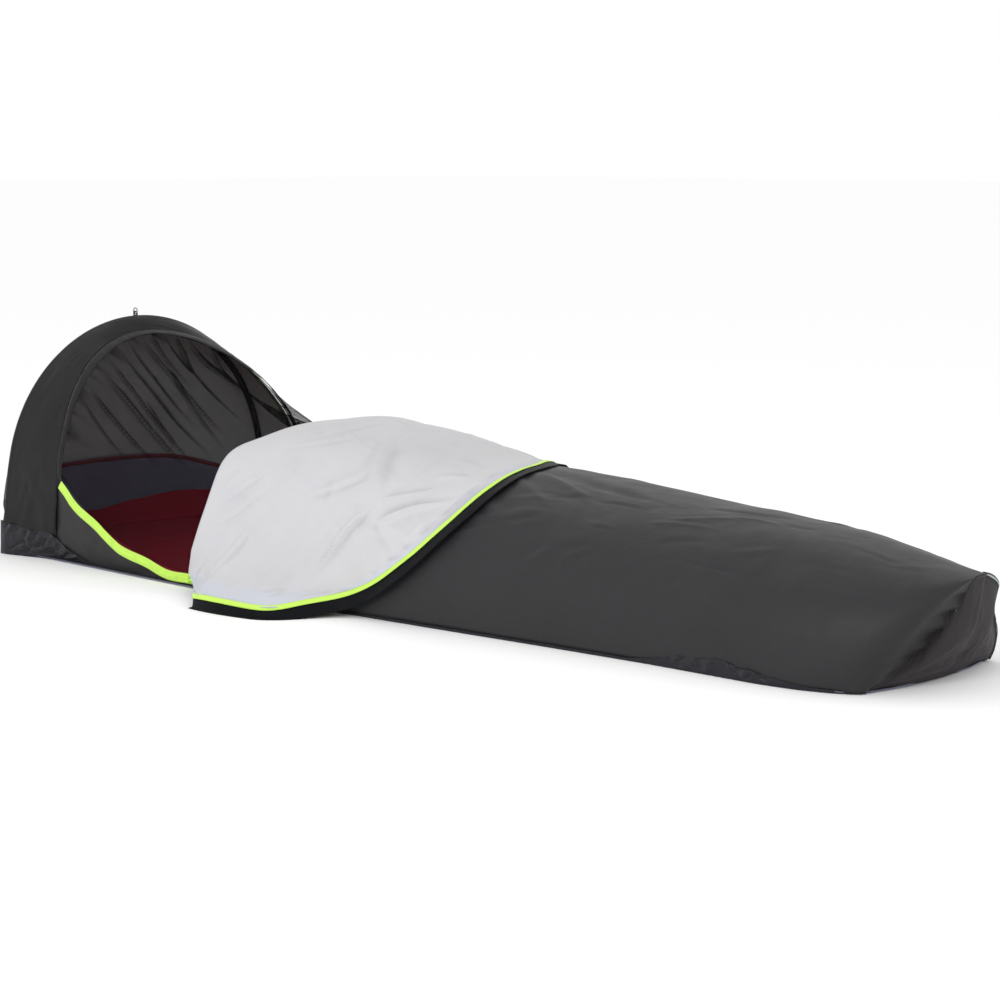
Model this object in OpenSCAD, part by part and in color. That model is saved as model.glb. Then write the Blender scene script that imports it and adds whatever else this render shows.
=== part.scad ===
// Single-pole bivy sack, pitched, with the outer door thrown back and the insect screen zipped shut.
// +X points to the foot, +Y to the left side of the sleeper, +Z up.
// The origin is on the ground, at the middle of the floor's underside.

/* [Hoop] */
// Half of the hoop's width at the ground, outside the sleeve
hoop_half_w = 327; // [315:1:335]
// Height of the hoop, outside the sleeve
hoop_h = 438; // [430:1:450]
// Radius of the hoop's crown
crown_r = 313; // [311:1:315]
// Outer diameter of a pole tube
pole_d = 8.5; // [8:0.5:9]
// Outer diameter of the sleeve that holds the pole
sleeve_d = 13; // [12.5:0.5:14]

/* [Sack] */
// Distance from the hoop to the hem where the doors are sewn on
door_len = 548; // [540:1:560]
// How far the head end bulges behind the hoop
head_bulge = 121; // [90:1:150]
// Height of the floor's turned-up wall at the middle of the head end
head_wall_h = 145; // [120:1:160]
// Lean of the foot panel, as run over rise
foot_lean = 0.56; // [0.4:0.01:0.7]
// Exponent of the arch-shaped sections, where 2 is an ellipse
arch_n = 2.4; // [2:0.1:3]
// Thickness of the body, door and floor fabrics as solids
cloth = 2; // [1.5:0.1:2.5]
// Thickness of the netting as a solid
net = 1.5; // [1:0.1:1.6]

/* [Outer door] */
// Gap between the body and the door that lies on it
door_gap = 7; // [6:0.5:10]
// Width of the strip that covers the zip
rain_flap_w = 22; // [16:1:40]
// Width of the coloured tape on the door's edge
edge_tape_w = 8; // [6:1:12]

/* [Zip] */
// Radius of the arc that the side zips follow
zip_r = 640; // [630:1:650]
// Length of a pull tab
pull_len = 24; // [18:1:30]

/* [Hidden] */
$fn = 48;

charcoal = "#424143";
floor_grey = "#46424e";
lime = "#b9ef58";
dark_red = "#4b0f1c";
inner_grey = "#2d323c";
pale = "#dcdcdf";
metal = "#8e9096";

hoop_x = -924;
near = -1;
far = 1;

// The hoop is three tangent arcs: two legs and a crown.
crown_z = hoop_h - crown_r;
leg_r = (hoop_half_w ^ 2 + crown_z ^ 2 - crown_r ^ 2) / (2 * (hoop_half_w - crown_r));
leg_y = leg_r - hoop_half_w;
leg_a = asin(crown_z / (leg_r - crown_r));
leg_len = leg_r * leg_a * PI / 180;
crown_len = crown_r * (180 - 2 * leg_a) * PI / 180;
hoop_len = 2 * leg_len + crown_len;
pole_in = sleeve_d / 2;

// Floor plan: half the width at each station along the sack.
plan = [[-924, 330], [-876, 313], [-811, 306], [-372, 306], [-50, 276], [188, 254], [410, 232],
        [600, 216], [800, 208], [865, 198], [925, 176], [950, 150], [963, 90], [968, 0]];
// Height of the body's ridge above each station of the floor.
ridge = [[-372, 264], [-269, 274], [-171, 271], [-80, 262], [48, 246], [142, 238], [422, 221],
         [600, 215], [700, 208], [775, 200], [850, 184], [945, 163]];
foot_x = 945;
foot_lean_from = 600;
hem_x = hoop_x + door_len;
body_x = hem_x + 17;
rim_h = 8;
rim_t = 0.7;
body_inset = 3.6;
base_z = cloth + 1;

// The side zips lie in the upright planes of the side walls.
zip_y = 300.5;
zip_x = -390;
zip_bottom = 16;
zip_z = zip_bottom + zip_r;
zip_from = -1;
zip_to = 37.2;
tape_w = 8;
tape_t = 1;
coil_d = 2.8;
coil_off = 2.4;
tape_off = coil_off + coil_d / 2 + 0.2;
wall_top_r = zip_r + 8;
screen_low_r = zip_r - 8;

head_loop_y = 200;
tip_z = cloth + 2.5;
pocket_h = 10;
apex_hole_z = hoop_h + 4;
steps_x = 18;
steps_a = 24;

function mix(a, b, t) = a + (b - a) * t;
function sgn_pow(v, p) = sign(v) * abs(v) ^ p;

// Point [y, z] on the hoop at fraction u of its length, moved inwards by off.
function hoop_pt(u, off = 0) =
    let (d = (u > 0.5 ? 1 - u : u) * hoop_len, side = u > 0.5 ? far : near,
         on_leg = d < leg_len, a = on_leg ? d / leg_r * 180 / PI : leg_a + (d - leg_len) / crown_r * 180 / PI)
    on_leg ? [side * ((leg_r - off) * cos(a) - leg_y), (leg_r - off) * sin(a)]
           : [side * (crown_r - off) * cos(a), crown_z + (crown_r - off) * sin(a)];

// Point on the front edge of the band that runs along the hoop.
front_ky = 0.958;
front_kz = 0.935;
front_q = 2.75;
front_top = 26;
front_side = 146;
front_low = 150;
function front_x(z) =
    hoop_x + front_top + (front_side - front_top) * (1 - (z / (front_kz * hoop_h)) ^ front_q);
function front_pt(u) =
    let (p = hoop_pt(u), z = p[1] * front_kz, k = min(1, z / front_low))
    [mix(-800, front_x(max(z, front_low)), k), p[0] * mix(0.9, front_ky, k), max(z, base_z)];

// Point on the arch-shaped section at station x and angle a, moved outwards by off.
function section_pt(x, a, off = 0) =
    let (hw = lookup(x, plan) - body_inset + off, h = lookup(x, ridge) + off,
         lean = foot_lean * max(0, min(1, (x - foot_lean_from) / (foot_x - foot_lean_from))),
         z = mix(base_z, h, sin(a) ^ (2 / arch_n)))
    [x + lean * z, -hw * sgn_pow(cos(a), 2 / arch_n), z];

// Where the head end's outline lies at a distance y from the middle.
function head_x(y) = hoop_x - head_bulge * (1 - abs(y / lookup(hoop_x, plan)) ^ 3);
function head_seam_z(y) = head_wall_h * (1 - 0.19 * abs(y / 237) ^ 3);

// A fabric panel: a grid of points given thickness along its own normals.
function grid_normal(p, i, j) =
    let (n = len(p) - 1, m = len(p[0]) - 1,
         c = cross(p[min(i + 1, n)][j] - p[max(i - 1, 0)][j], p[i][min(j + 1, m)] - p[i][max(j - 1, 0)]))
    c / norm(c);
module panel(p, lo, hi) {
    n = len(p);
    m = len(p[0]);
    k = n * m;
    low = [for (i = [0:n-1], j = [0:m-1]) p[i][j] + lo * grid_normal(p, i, j)];
    high = [for (i = [0:n-1], j = [0:m-1]) p[i][j] + hi * grid_normal(p, i, j)];
    faces = concat(
        [for (i = [0:n-2], j = [0:m-2]) each let (a = i*m+j, b = a+1, c = a+m+1, d = a+m)
            [[a+k, b+k, c+k], [a+k, c+k, d+k], [a, c, b], [a, d, c]]],
        [for (j = [0:m-2]) each let (a = j, b = j+1, c = (n-1)*m+j, d = c+1)
            [[a, b, b+k], [a, b+k, a+k], [c, d+k, d], [c, c+k, d+k]]],
        [for (i = [0:n-2]) each let (a = i*m, b = a+m, c = a+m-1, d = b+m-1)
            [[a, b+k, b], [a, a+k, b+k], [c, d, d+k], [c, d+k, c+k]]]);
    polyhedron(concat(low, high), faces);
}

// Places a rotate_extrude along part of the hoop: angles run up from the near foot.
module hoop_arc(cy, cz, from, to) {
    translate([hoop_x, cy, cz]) rotate([90, 0, -90]) rotate([0, 0, from])
        rotate_extrude(angle = to - from, $fn = 120) children();
}
module hoop_profile(inset, d, hole) {
    translate([inset, 0]) difference() {
        circle(d = d);
        if (hole > 0) circle(d = hole);
    }
}
// A tube along the hoop between two lengths measured from the near foot.
module hoop_tube(from, to, d, hole = 0) {
    deg = 180 / PI;
    if (from < leg_len)
        hoop_arc(leg_y, 0, from / leg_r * deg, min(to, leg_len) / leg_r * deg)
            hoop_profile(leg_r - pole_in, d, hole);
    if (to > leg_len && from < leg_len + crown_len)
        hoop_arc(0, crown_z, leg_a + (max(from, leg_len) - leg_len) / crown_r * deg,
                 leg_a + (min(to, leg_len + crown_len) - leg_len) / crown_r * deg)
            hoop_profile(crown_r - pole_in, d, hole);
    if (to > leg_len + crown_len)
        mirror([0, 1, 0])
            hoop_arc(leg_y, 0, (hoop_len - to) / leg_r * deg,
                     (hoop_len - max(from, leg_len + crown_len)) / leg_r * deg)
                hoop_profile(leg_r - pole_in, d, hole);
}

// Places a rotate_extrude along a side zip, whose profile is [radius, outwards].
module zip_arc(side, from = zip_from, to = zip_to) {
    translate([zip_x, side * zip_y, zip_z]) rotate([0, 90, 90]) rotate([0, 0, from])
        rotate_extrude(angle = to - from, $fn = 180) children();
}

// ---- Floor ----
function floor_outline() = concat(
    [for (i = [-16:16]) let (y = -i / 16 * plan[0][1]) [head_x(y), y]],
    [for (i = [1:len(plan)-1]) [plan[i][0], -plan[i][1]]],
    [for (i = [len(plan)-2:-1:1]) [plan[i][0], plan[i][1]]]);
module floor_panel() {
    color(floor_grey) linear_extrude(cloth) polygon(floor_outline());
}

module floor_rim(side) {
    rim_x = concat([-795], [for (i = [3:len(plan)-4]) plan[i][0]]);
    color(floor_grey) translate([0, 0, cloth]) linear_extrude(rim_h - cloth)
        polygon(concat([for (x = rim_x) [x, side * lookup(x, plan)]],
                       [for (i = [len(rim_x)-1:-1:0]) [rim_x[i], side * (lookup(rim_x[i], plan) - rim_t)]]));
}
module floor_rim_near() { floor_rim(near); }
module floor_rim_far() { floor_rim(far); }

head_edge_y = 316;
function head_wall_grid() = [for (i = [0:20]) let (y = mix(head_edge_y, -head_edge_y, i / 20))
    [for (j = [0:2]) [head_x(y), y, mix(cloth + 0.2, head_seam_z(y), j / 2)]]];
module floor_head_wall() {
    color(inner_grey) panel(head_wall_grid(), -cloth, 0);
}

seam_tape_w = 9;
module head_seam_tape() {
    rows = [for (i = [0:20]) let (y = mix(head_edge_y - 6, 6 - head_edge_y, i / 20))
        [for (j = [0:1]) [head_x(y), y, head_seam_z(y) - 1 - seam_tape_w * (1 - j)]]];
    color(dark_red) panel(rows, -cloth - 1.6, -cloth - 0.7);
}

liner_top = 52;
liner_from = 300;
module floor_liner() {
    rows = [for (i = [0:16]) let (y = mix(-286, 286, i / 16), back = head_x(y) + 12)
        [[back - 3, y, liner_top + 14 * sin(i * 75)], [back, y, 22], [back + 14, y, 7], [back + 60, y, 4],
         [mix(back, liner_from, 0.5), y * 0.95, 4], [liner_from, y * 0.76, 4]]];
    color(dark_red) panel(rows, 0, 1.2);
}

// ---- Body ----
function body_grid(from, to, n, off = 0) =
    [for (i = [0:n]) [for (j = [0:steps_a]) section_pt(mix(from, to, i / n), 180 * j / steps_a, off)]];

// The seam round the foot panel lies on the leaning end face, inside the arch that ends the body.
foot_half_w = [[0, 148], [15, 121], [29, 90], [47, 68], [67, 51], [93, 41], [127, 31], [154, 24], [165, 15]];
foot_angle = atan(foot_lean);
function on_foot(y, z, out = 2) = [foot_x + foot_lean * z + out, y, z];
function foot_seam_pt(a, grow = 0) =
    let (z = section_pt(foot_x, a)[2], y = -sign(cos(a)) * (lookup(z, foot_half_w) + grow))
    on_foot(a == 90 ? 0 : y, z + grow * max(0, (z - 90) / 75));
module body_shell() {
    seam = [for (j = [0:steps_a]) foot_seam_pt(180 * j / steps_a)];
    color(charcoal) panel(concat(body_grid(body_x, foot_x, steps_x), [seam]), 0, cloth);
}

module foot_panel() {
    arch = [for (j = [1:steps_a-1]) foot_seam_pt(180 * j / steps_a, -2)];
    outline = [for (p = arch) [p[1], (p[2] - base_z) / cos(foot_angle)]];
    color(charcoal) translate(on_foot(0, base_z)) rotate([0, foot_angle, 0]) rotate([90, 0, 90])
        linear_extrude(cloth) polygon(concat([[-115, 2]], outline, [[115, 2]]));
}
module foot_seam_piping() {
    rows = [for (j = [0:steps_a]) let (a = 180 * j / steps_a)
        [for (grow = [-2, 2]) foot_seam_pt(a, grow) + [cloth + 0.6, 0, 0]]];
    color(charcoal) panel(rows, 0.2, 1.8);
}

module chest_hem() {
    rows = [for (i = [0:1]) [for (j = [0:steps_a])
        section_pt(mix(hem_x + 1, body_x - 1, i), 180 * j / steps_a, -2)]];
    color(charcoal) panel(rows, 0, cloth);
}

wall_from = -784;
module side_wall(side) {
    color(charcoal) difference() {
        translate([wall_from, side * (zip_y - 1.5) - cloth / 2, base_z - 0.5])
            cube([hem_x - wall_from, cloth, 160]);
        translate([zip_x, 0, zip_z]) rotate([90, 0, 0])
            cylinder(r = wall_top_r, h = 800, center = true, $fn = 180);
    }
}
module side_wall_near() { side_wall(near); }
module side_wall_far() { side_wall(far); }

// ---- Hood ----
module head_panel() {
    rows = [for (i = [0:20]) let (s = mix(1, -1, i / 20), y = s * head_edge_y,
                                  top = hoop_pt(0.5 + 0.4 * s, 3), low = [head_x(y), y, head_seam_z(y) + 1])
        [for (j = [0:5]) let (v = j / 5, p = mix(low, [hoop_x - sleeve_d / 2 - 2, top[0], top[1]], v))
            p - [18 * sin(180 * v) * (1 - s * s), 0, 0]]];
    color(charcoal) panel(rows, -cloth, 0);
}

module hoop_band() {
    rows = [for (i = [0:32]) let (u = i / 32, back = hoop_pt(u), edge = front_pt(u))
        [for (j = [0:3]) mix([hoop_x + sleeve_d / 2 + 1, back[0], max(back[1], base_z)], edge, j / 3)
            + [0, 0, 3 * sin(60 * j) * sin(180 * u)]]];
    color(charcoal) panel(rows, 0, cloth);
}

sleeve_from = 18;
module pole_sleeve() {
    color(charcoal) hoop_tube(sleeve_from, hoop_len - sleeve_from, sleeve_d, sleeve_d - 2);
}

// ---- Pole ----
pole_from = 9;
segment_len = (hoop_len - 2 * pole_from) / 4;
pole_bore = pole_d - 1;
module pole_segment(i) {
    color(metal) hoop_tube(pole_from + (i - 1) * segment_len + 0.2, pole_from + i * segment_len - 0.2,
                           pole_d, pole_bore);
}
module pole_segment_1() { pole_segment(1); }
module pole_segment_2() { pole_segment(2); }
module pole_segment_3() { pole_segment(3); }
module pole_segment_4() { pole_segment(4); }

ferrule_len = 50;
cord_hole = 3.4;
module pole_ferrule(i) {
    middle = pole_from + i * segment_len;
    color("silver") hoop_tube(middle - ferrule_len / 2, middle + ferrule_len / 2, pole_bore - 0.3, cord_hole);
}
module pole_ferrule_1() { pole_ferrule(1); }
module pole_ferrule_2() { pole_ferrule(2); }
module pole_ferrule_3() { pole_ferrule(3); }

plug_len = 12;
cord_r = 1.3;
cord_rings = 48;
cord_sides = 8;
// The elastic cord through the whole pole, as one tube swept along the hoop.
module shock_cord() {
    end = (pole_from + plug_len + 1) / hoop_len;
    points = [for (i = [0:cord_rings]) let (u = mix(end, 1 - end, i / cord_rings),
                  p = hoop_pt(u, pole_in), inward = hoop_pt(u, pole_in + 1) - p)
              each [for (k = [0:cord_sides-1])
                  let (a = 360 * k / cord_sides, q = p + cord_r * cos(a) * inward)
                  [hoop_x + cord_r * sin(a), q[0], q[1]]]];
    sides = [for (i = [0:cord_rings-1], k = [0:cord_sides-1])
                 each let (a = i*cord_sides + k, b = i*cord_sides + (k+1) % cord_sides,
                           c = b + cord_sides, d = a + cord_sides) [[a, b, c], [a, c, d]]];
    first = [for (k = [cord_sides-1:-1:0]) k];
    last = [for (k = [0:cord_sides-1]) cord_rings*cord_sides + k];
    color("dimgray") polyhedron(points, concat(sides, [first, last]));
}

// A plug in the end of the pole, with a round foot that stands in the pocket.
module pole_tip_near() {
    color("black") union() {
        hoop_tube(pole_from, pole_from + plug_len, pole_bore - 0.3);
        translate([hoop_x, pole_in - hoop_half_w, tip_z]) cylinder(d = pole_d - 1, h = pole_from - tip_z);
    }
}
module pole_tip_far() { mirror([0, 1, 0]) pole_tip_near(); }

module pole_pocket(side) {
    color("black") translate([hoop_x, side * (hoop_half_w - pole_in), cloth]) difference() {
        cylinder(d = 16, h = pocket_h);
        translate([0, 0, tip_z - cloth - 0.5]) cylinder(d = pole_d + 1.5, h = pocket_h);
    }
}
module pole_pocket_near() { pole_pocket(near); }
module pole_pocket_far() { pole_pocket(far); }

// ---- Zips ----
module tape(side, r0) {
    color(lime) zip_arc(side) translate([r0, -tape_t / 2]) square([tape_w, tape_t]);
}
module coil(side, r0) {
    color("#d8f58c") zip_arc(side) translate([r0, 0]) circle(d = coil_d);
}
module wall_zip_tape_near() { tape(near, zip_r + tape_off); }
module wall_zip_tape_far() { tape(far, zip_r + tape_off); }
module wall_zip_coil_near() { coil(near, zip_r + coil_off); }
module wall_zip_coil_far() { coil(far, zip_r + coil_off); }
module screen_zip_tape_near() { tape(near, zip_r - tape_off - tape_w); }
module screen_zip_tape_far() { tape(far, zip_r - tape_off - tape_w); }
module screen_zip_coil_near() { coil(near, zip_r - coil_off); }
module screen_zip_coil_far() { coil(far, zip_r - coil_off); }

// The fixed half of the zip under the band's front edge.
screen_u = 0.132;
module hoop_zip_tape() {
    rows = [for (i = [0:24]) let (u = mix(screen_u, 1 - screen_u, i / 24), p = hoop_pt(u), e = front_pt(u),
                                  back = [hoop_x, p[0], p[1]])
        [for (j = [0:1]) e + (back - e) / norm(back - e) * (11 - 10 * j)]];
    color(lime) panel(rows, cloth + 1, cloth + 2);
}

// ---- Loops ----
tab_x = hoop_x - sleeve_d / 2 - 1;
tab_low_z = hoop_h - 1.5;
tab_h = 10.5;
module apex_tab() {
    color(charcoal) difference() {
        translate([tab_x - 1.6, -5, tab_low_z]) cube([1.6, 10, tab_h]);
        translate([tab_x, 0, apex_hole_z]) rotate([0, 90, 0]) cylinder(d = 5, h = 8, center = true);
    }
}
loop_r = 5.5;
module apex_loop() {
    color("gray") translate([tab_x - 0.8, 0, apex_hole_z + loop_r]) rotate([90, 0, 0])
        rotate_extrude() translate([loop_r, 0]) circle(d = 2.4);
}

// A flat webbing loop for a stake, lying on the ground behind the head end.
stake_w = 20;
stake_len = 42;
stake_end_x = stake_w / 2 - stake_len;
module stake_loop(side) {
    color("black") translate([head_x(head_loop_y - stake_w / 2) - 1.5, side * head_loop_y, 0.2])
        difference() {
            union() {
                translate([stake_end_x, -stake_w / 2, 0]) cube([-stake_end_x, stake_w, 1.6]);
                translate([stake_end_x, 0, 0]) cylinder(d = stake_w, h = 1.6);
            }
            translate([stake_end_x, -5, -1]) cube([-stake_end_x - 10, 10, 4]);
            translate([stake_end_x, 0, -1]) cylinder(d = 10, h = 4);
        }
}
module stake_loop_near() { stake_loop(near); }
module stake_loop_far() { stake_loop(far); }

// ---- Insect screen ----
screen_x = hem_x - 3;
screen_half_w = zip_y - 1.25;
screen_a = 3.5;
// How far the loose netting sags inwards on each side.
screen_slack = 36;
function low_edge_z(x) = zip_z - sqrt(screen_low_r ^ 2 - (x - zip_x) ^ 2);
function screen_pt(v, u) =
    let (a = mix(screen_a, 180 - screen_a, v), h = lookup(screen_x, ridge),
         fold = [screen_x, -screen_half_w * sgn_pow(cos(a), 2 / arch_n), h * sin(a) ^ (2 / arch_n)],
         e = front_pt(mix(screen_u, 1 - screen_u, v)), k = max(0, 1 - 7 * min(v, 1 - v)) ^ 2,
         hoop = [e[0] + 5, mix(e[1], screen_half_w * sign(e[1]), k), e[2] + 1],
         slack = screen_slack * sin(180 * u) ^ 0.8 * exp(-((min(v, 1 - v) - 0.34) / 0.16) ^ 2),
         p = mix(fold, hoop, u) - slack * [0, sign(e[1]), 1])
    [p[0], mix(p[1], screen_half_w * sign(p[1]), k), mix(p[2], low_edge_z(p[0]), k)];
function screen_grid(u0, u1, n) = [for (i = [0:n]) [for (j = [0:28]) screen_pt(j / 28, mix(u0, u1, i / n))]];
module insect_screen() {
    color("#2b2d33") panel(screen_grid(0, 1, 12), -net / 2, net / 2);
}
module screen_hoop_tape() {
    color(lime) panel(screen_grid(0.982, 0.999, 1), 1.1, 2.1);
}

// ---- Outer door, thrown back over the body ----
door_x = hem_x + 6;
// Lowest angle of the door round the section: its bottom edges hang this far above the ground.
door_low = 2.1;
// Where the door's folded side lies, for each angle up from the ground on either side.
door_left = [[2.1, -235], [3, -295], [4.3, -342], [7, -362], [11, door_x], [90, door_x]];
// Where the door's zipped edge lies, for each angle round the section from the near side.
door_edge = [[2.1, -77], [3.5, -45], [5, -6], [11, 54], [22, 112], [34, 150], [48, 176], [65, 182], [78, 174],
             [90, 154], [100, 118], [120, 60], [150, 0], [170, -30], [177.9, -77]];
// How far the door flares out from the body near the ground.
door_flare = [[-370, 30], [-340, 62], [-300, 95], [-242, 154], [-174, 160], [-114, 154], [-77, 142],
              [-45, 80], [-15, 18], [10, 0]];
flare_top = 150;
door_steps_a = 30;
door_steps_x = 12;
function door_angle(j) = mix(door_low, 180 - door_low, j / door_steps_a);
function door_pt(t, a) =
    let (x = mix(lookup(min(a, 180 - a), door_left), lookup(a, door_edge), t), p = section_pt(x, a, door_gap),
         k = max(0, 1 - p[2] / flare_top) ^ 2)
    p + [0, sign(p[1]) * lookup(x, door_flare) * k, 0];
module outer_door() {
    color(pale) panel([for (i = [0:door_steps_x]) [for (j = [0:door_steps_a])
        door_pt(i / door_steps_x, door_angle(j))]], 0, cloth);
}

// The door's free edge: along its bottom on the near side, up, over, and back along the far side.
door_rim = concat([for (i = [1:2:door_steps_x-1]) door_pt(i / door_steps_x, door_low)],
                  [for (j = [0:door_steps_a]) door_pt(1, door_angle(j))],
                  [for (i = [door_steps_x-1:-2:1]) door_pt(i / door_steps_x, 180 - door_low)]);
strip_low_z = 0.8;
// A point out past the free edge in the plane of the cloth, which turns outwards where it meets the ground.
function past_rim(i, out) =
    let (q = door_rim[i], t = door_rim[min(i + 1, len(door_rim) - 1)] - door_rim[max(i - 1, 0)],
         o = cross(t, [0, q[1] / 300, (q[2] + 40) / 250]), p = q + o / norm(o) * out,
         under = max(0, strip_low_z - p[2]))
    p + [0, sign(p[1]) * 0.9 * under, under];
module rim_strip(offsets, lo, hi) {
    panel([for (out = offsets) [for (i = [0:len(door_rim)-1]) past_rim(i, out)]], lo, hi);
}
module door_zip_tape() {
    color(lime) rim_strip([0.8, edge_tape_w], 0.3, 1.4);
}
module rain_flap() {
    color(charcoal)
        rim_strip([edge_tape_w + 1, edge_tape_w + rain_flap_w / 2, edge_tape_w + rain_flap_w], 0, 1.6);
}

// ---- Zip sliders ----
slider_w = 12;
plate_t = 1.5;
plate_gap = 1.8;
tab_off = 6;
// Drawn at the bottom of the zip's arc, with its outside towards -Y.
module slider_body() {
    translate([-6, -plate_gap - plate_t, -slider_w / 2]) cube([12, plate_t, slider_w]);
    translate([-6, plate_gap, -slider_w / 2]) cube([12, plate_t, slider_w]);
    translate([-3, -plate_gap - 0.5, -0.6]) cube([6, 2 * plate_gap + 1, 1.2]);
    for (z = [-4.6, 3.4])
        translate([-1.5, -tab_off - 1, z]) cube([3, tab_off + 1 - plate_gap - plate_t + 0.5, 1.2]);
    translate([0, -tab_off, -4]) cylinder(d = 1.2, h = 8);
}
module zip_slider_near() {
    color("#c3f06a") translate([zip_x, -zip_y, zip_bottom]) slider_body();
}
module zip_slider_far() { mirror([0, 1, 0]) zip_slider_near(); }

module pull_tab_near() {
    color("#c3f06a") translate([zip_x, -zip_y - tab_off, zip_bottom]) difference() {
        union() {
            translate([0, -0.8, -2.6]) cube([pull_len, 1.6, 5.2]);
            cylinder(d = 3.2, h = 5.2, center = true);
        }
        cylinder(d = 1.8, h = 8, center = true);
        translate([pull_len - 3.5, 0, 0]) rotate([90, 0, 0]) cylinder(d = 2.4, h = 6, center = true);
    }
}
module pull_tab_far() { mirror([0, 1, 0]) pull_tab_near(); }

floor_panel();
floor_rim_near();
floor_rim_far();
floor_head_wall();
head_seam_tape();
floor_liner();
body_shell();
foot_panel();
foot_seam_piping();
chest_hem();
side_wall_near();
side_wall_far();
head_panel();
hoop_band();
pole_sleeve();
pole_segment_1();
pole_segment_2();
pole_segment_3();
pole_segment_4();
pole_ferrule_1();
pole_ferrule_2();
pole_ferrule_3();
shock_cord();
pole_tip_near();
pole_tip_far();
pole_pocket_near();
pole_pocket_far();
wall_zip_tape_near();
wall_zip_tape_far();
wall_zip_coil_near();
wall_zip_coil_far();
hoop_zip_tape();
apex_tab();
apex_loop();
stake_loop_near();
stake_loop_far();
insect_screen();
screen_zip_tape_near();
screen_zip_tape_far();
screen_zip_coil_near();
screen_zip_coil_far();
screen_hoop_tape();
outer_door();
door_zip_tape();
rain_flap();
zip_slider_near();
zip_slider_far();
pull_tab_near();
pull_tab_far();
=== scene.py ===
"""Single-pole bivy sack, pitched: the cloth, zips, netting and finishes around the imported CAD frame."""
import math

import bpy
import numpy as np
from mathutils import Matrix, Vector


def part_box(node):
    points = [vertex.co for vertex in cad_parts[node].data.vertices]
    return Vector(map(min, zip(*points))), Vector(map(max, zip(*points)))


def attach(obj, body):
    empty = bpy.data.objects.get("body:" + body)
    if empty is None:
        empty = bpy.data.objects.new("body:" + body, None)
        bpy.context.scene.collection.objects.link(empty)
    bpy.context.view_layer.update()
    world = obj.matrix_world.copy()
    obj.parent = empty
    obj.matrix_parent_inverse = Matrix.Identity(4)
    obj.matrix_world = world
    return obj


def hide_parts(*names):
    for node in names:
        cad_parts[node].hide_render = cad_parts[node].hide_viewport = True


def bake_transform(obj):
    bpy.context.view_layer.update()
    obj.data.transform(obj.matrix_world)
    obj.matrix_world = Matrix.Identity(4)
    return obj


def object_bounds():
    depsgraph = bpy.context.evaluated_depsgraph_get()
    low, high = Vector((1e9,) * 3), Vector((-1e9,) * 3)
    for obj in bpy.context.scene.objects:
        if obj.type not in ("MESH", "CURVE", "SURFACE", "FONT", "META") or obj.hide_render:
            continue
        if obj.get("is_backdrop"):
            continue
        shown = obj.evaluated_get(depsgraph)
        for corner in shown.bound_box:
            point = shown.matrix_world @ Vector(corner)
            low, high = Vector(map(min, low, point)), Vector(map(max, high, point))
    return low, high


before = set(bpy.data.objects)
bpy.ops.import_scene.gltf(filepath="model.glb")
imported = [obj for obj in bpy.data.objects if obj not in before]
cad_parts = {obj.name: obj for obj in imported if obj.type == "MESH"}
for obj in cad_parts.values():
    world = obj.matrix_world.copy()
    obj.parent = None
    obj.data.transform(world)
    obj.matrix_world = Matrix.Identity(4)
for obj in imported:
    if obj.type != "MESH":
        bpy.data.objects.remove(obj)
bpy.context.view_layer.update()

MM = 0.001
PI = math.pi
NEAR, FAR = -1, 1
UP = (0, 0, 1)

# ---- Camera, world and lights ----
TARGET = Vector((0.0455, 0.0312, 0.1665))
VIEW_DISTANCE = 4.138
VIEW_AZIMUTH, VIEW_ELEVATION = math.radians(44.3), math.radians(8.44)
back_way = Vector((math.sin(VIEW_AZIMUTH) * math.cos(VIEW_ELEVATION),
                   -math.cos(VIEW_AZIMUTH) * math.cos(VIEW_ELEVATION), math.sin(VIEW_ELEVATION)))
camera_data = bpy.data.cameras.new("camera")
camera_data.lens = 86.4
camera_data.sensor_width = 36


def put(name, data, place, aim):
    """A new object at place that looks at aim."""
    thing = bpy.data.objects.new(name, data)
    thing.location = place
    thing.rotation_mode = "QUATERNION"
    thing.rotation_quaternion = (Vector(aim) - Vector(place)).to_track_quat("-Z", "Y")
    bpy.context.scene.collection.objects.link(thing)
    return thing


bpy.context.scene.camera = put("camera", camera_data, TARGET + back_way * VIEW_DISTANCE, TARGET)
bpy.context.scene.view_settings.view_transform = "Standard"


def srgb(r, g, b):
    """An 8-bit display colour as linear RGBA."""
    return (*[((c / 255 + 0.055) / 1.055) ** 2.4 if c > 10 else c / 255 / 12.92 for c in (r, g, b)], 1.0)


world = bpy.data.worlds.new("studio")
bpy.context.scene.world = world
world.use_nodes = True
background = world.node_tree.nodes["Background"].inputs
background["Color"].default_value = (1, 1, 1, 1)
background["Strength"].default_value = 1.0


def area_light(name, place, aim, size, power):
    data = bpy.data.lights.new(name, "AREA")
    data.shape = "DISK"
    data.size = size
    data.energy = power
    put(name, data, place, aim)


area_light("key", (1.2, -3.4, 1.7), (-0.1, 0, 0.15), 1.5, 36)
area_light("fill", (3.4, -0.6, 1.5), (0.3, 0, 0.15), 2.0, 5)
area_light("top", (-1.4, 0.8, 3.0), (-0.3, 0, 0.2), 1.8, 3)


# ---- Number helpers ----
def mix(a, b, t):
    return a + (b - a) * t


def smooth(t):
    t = np.clip(t, 0, 1)
    return t * t * (3 - 2 * t)


def sgn_pow(v, p):
    return np.sign(v) * np.abs(v) ** p


def look(table, x, soft=14.0):
    """A table's value at x, with its corners rounded over about twice soft."""
    xs, ys = np.array(table, float).T
    x = np.asarray(x, float)
    return sum(np.interp(x + d, xs, ys) for d in np.linspace(-soft, soft, 7)) / 7


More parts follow.
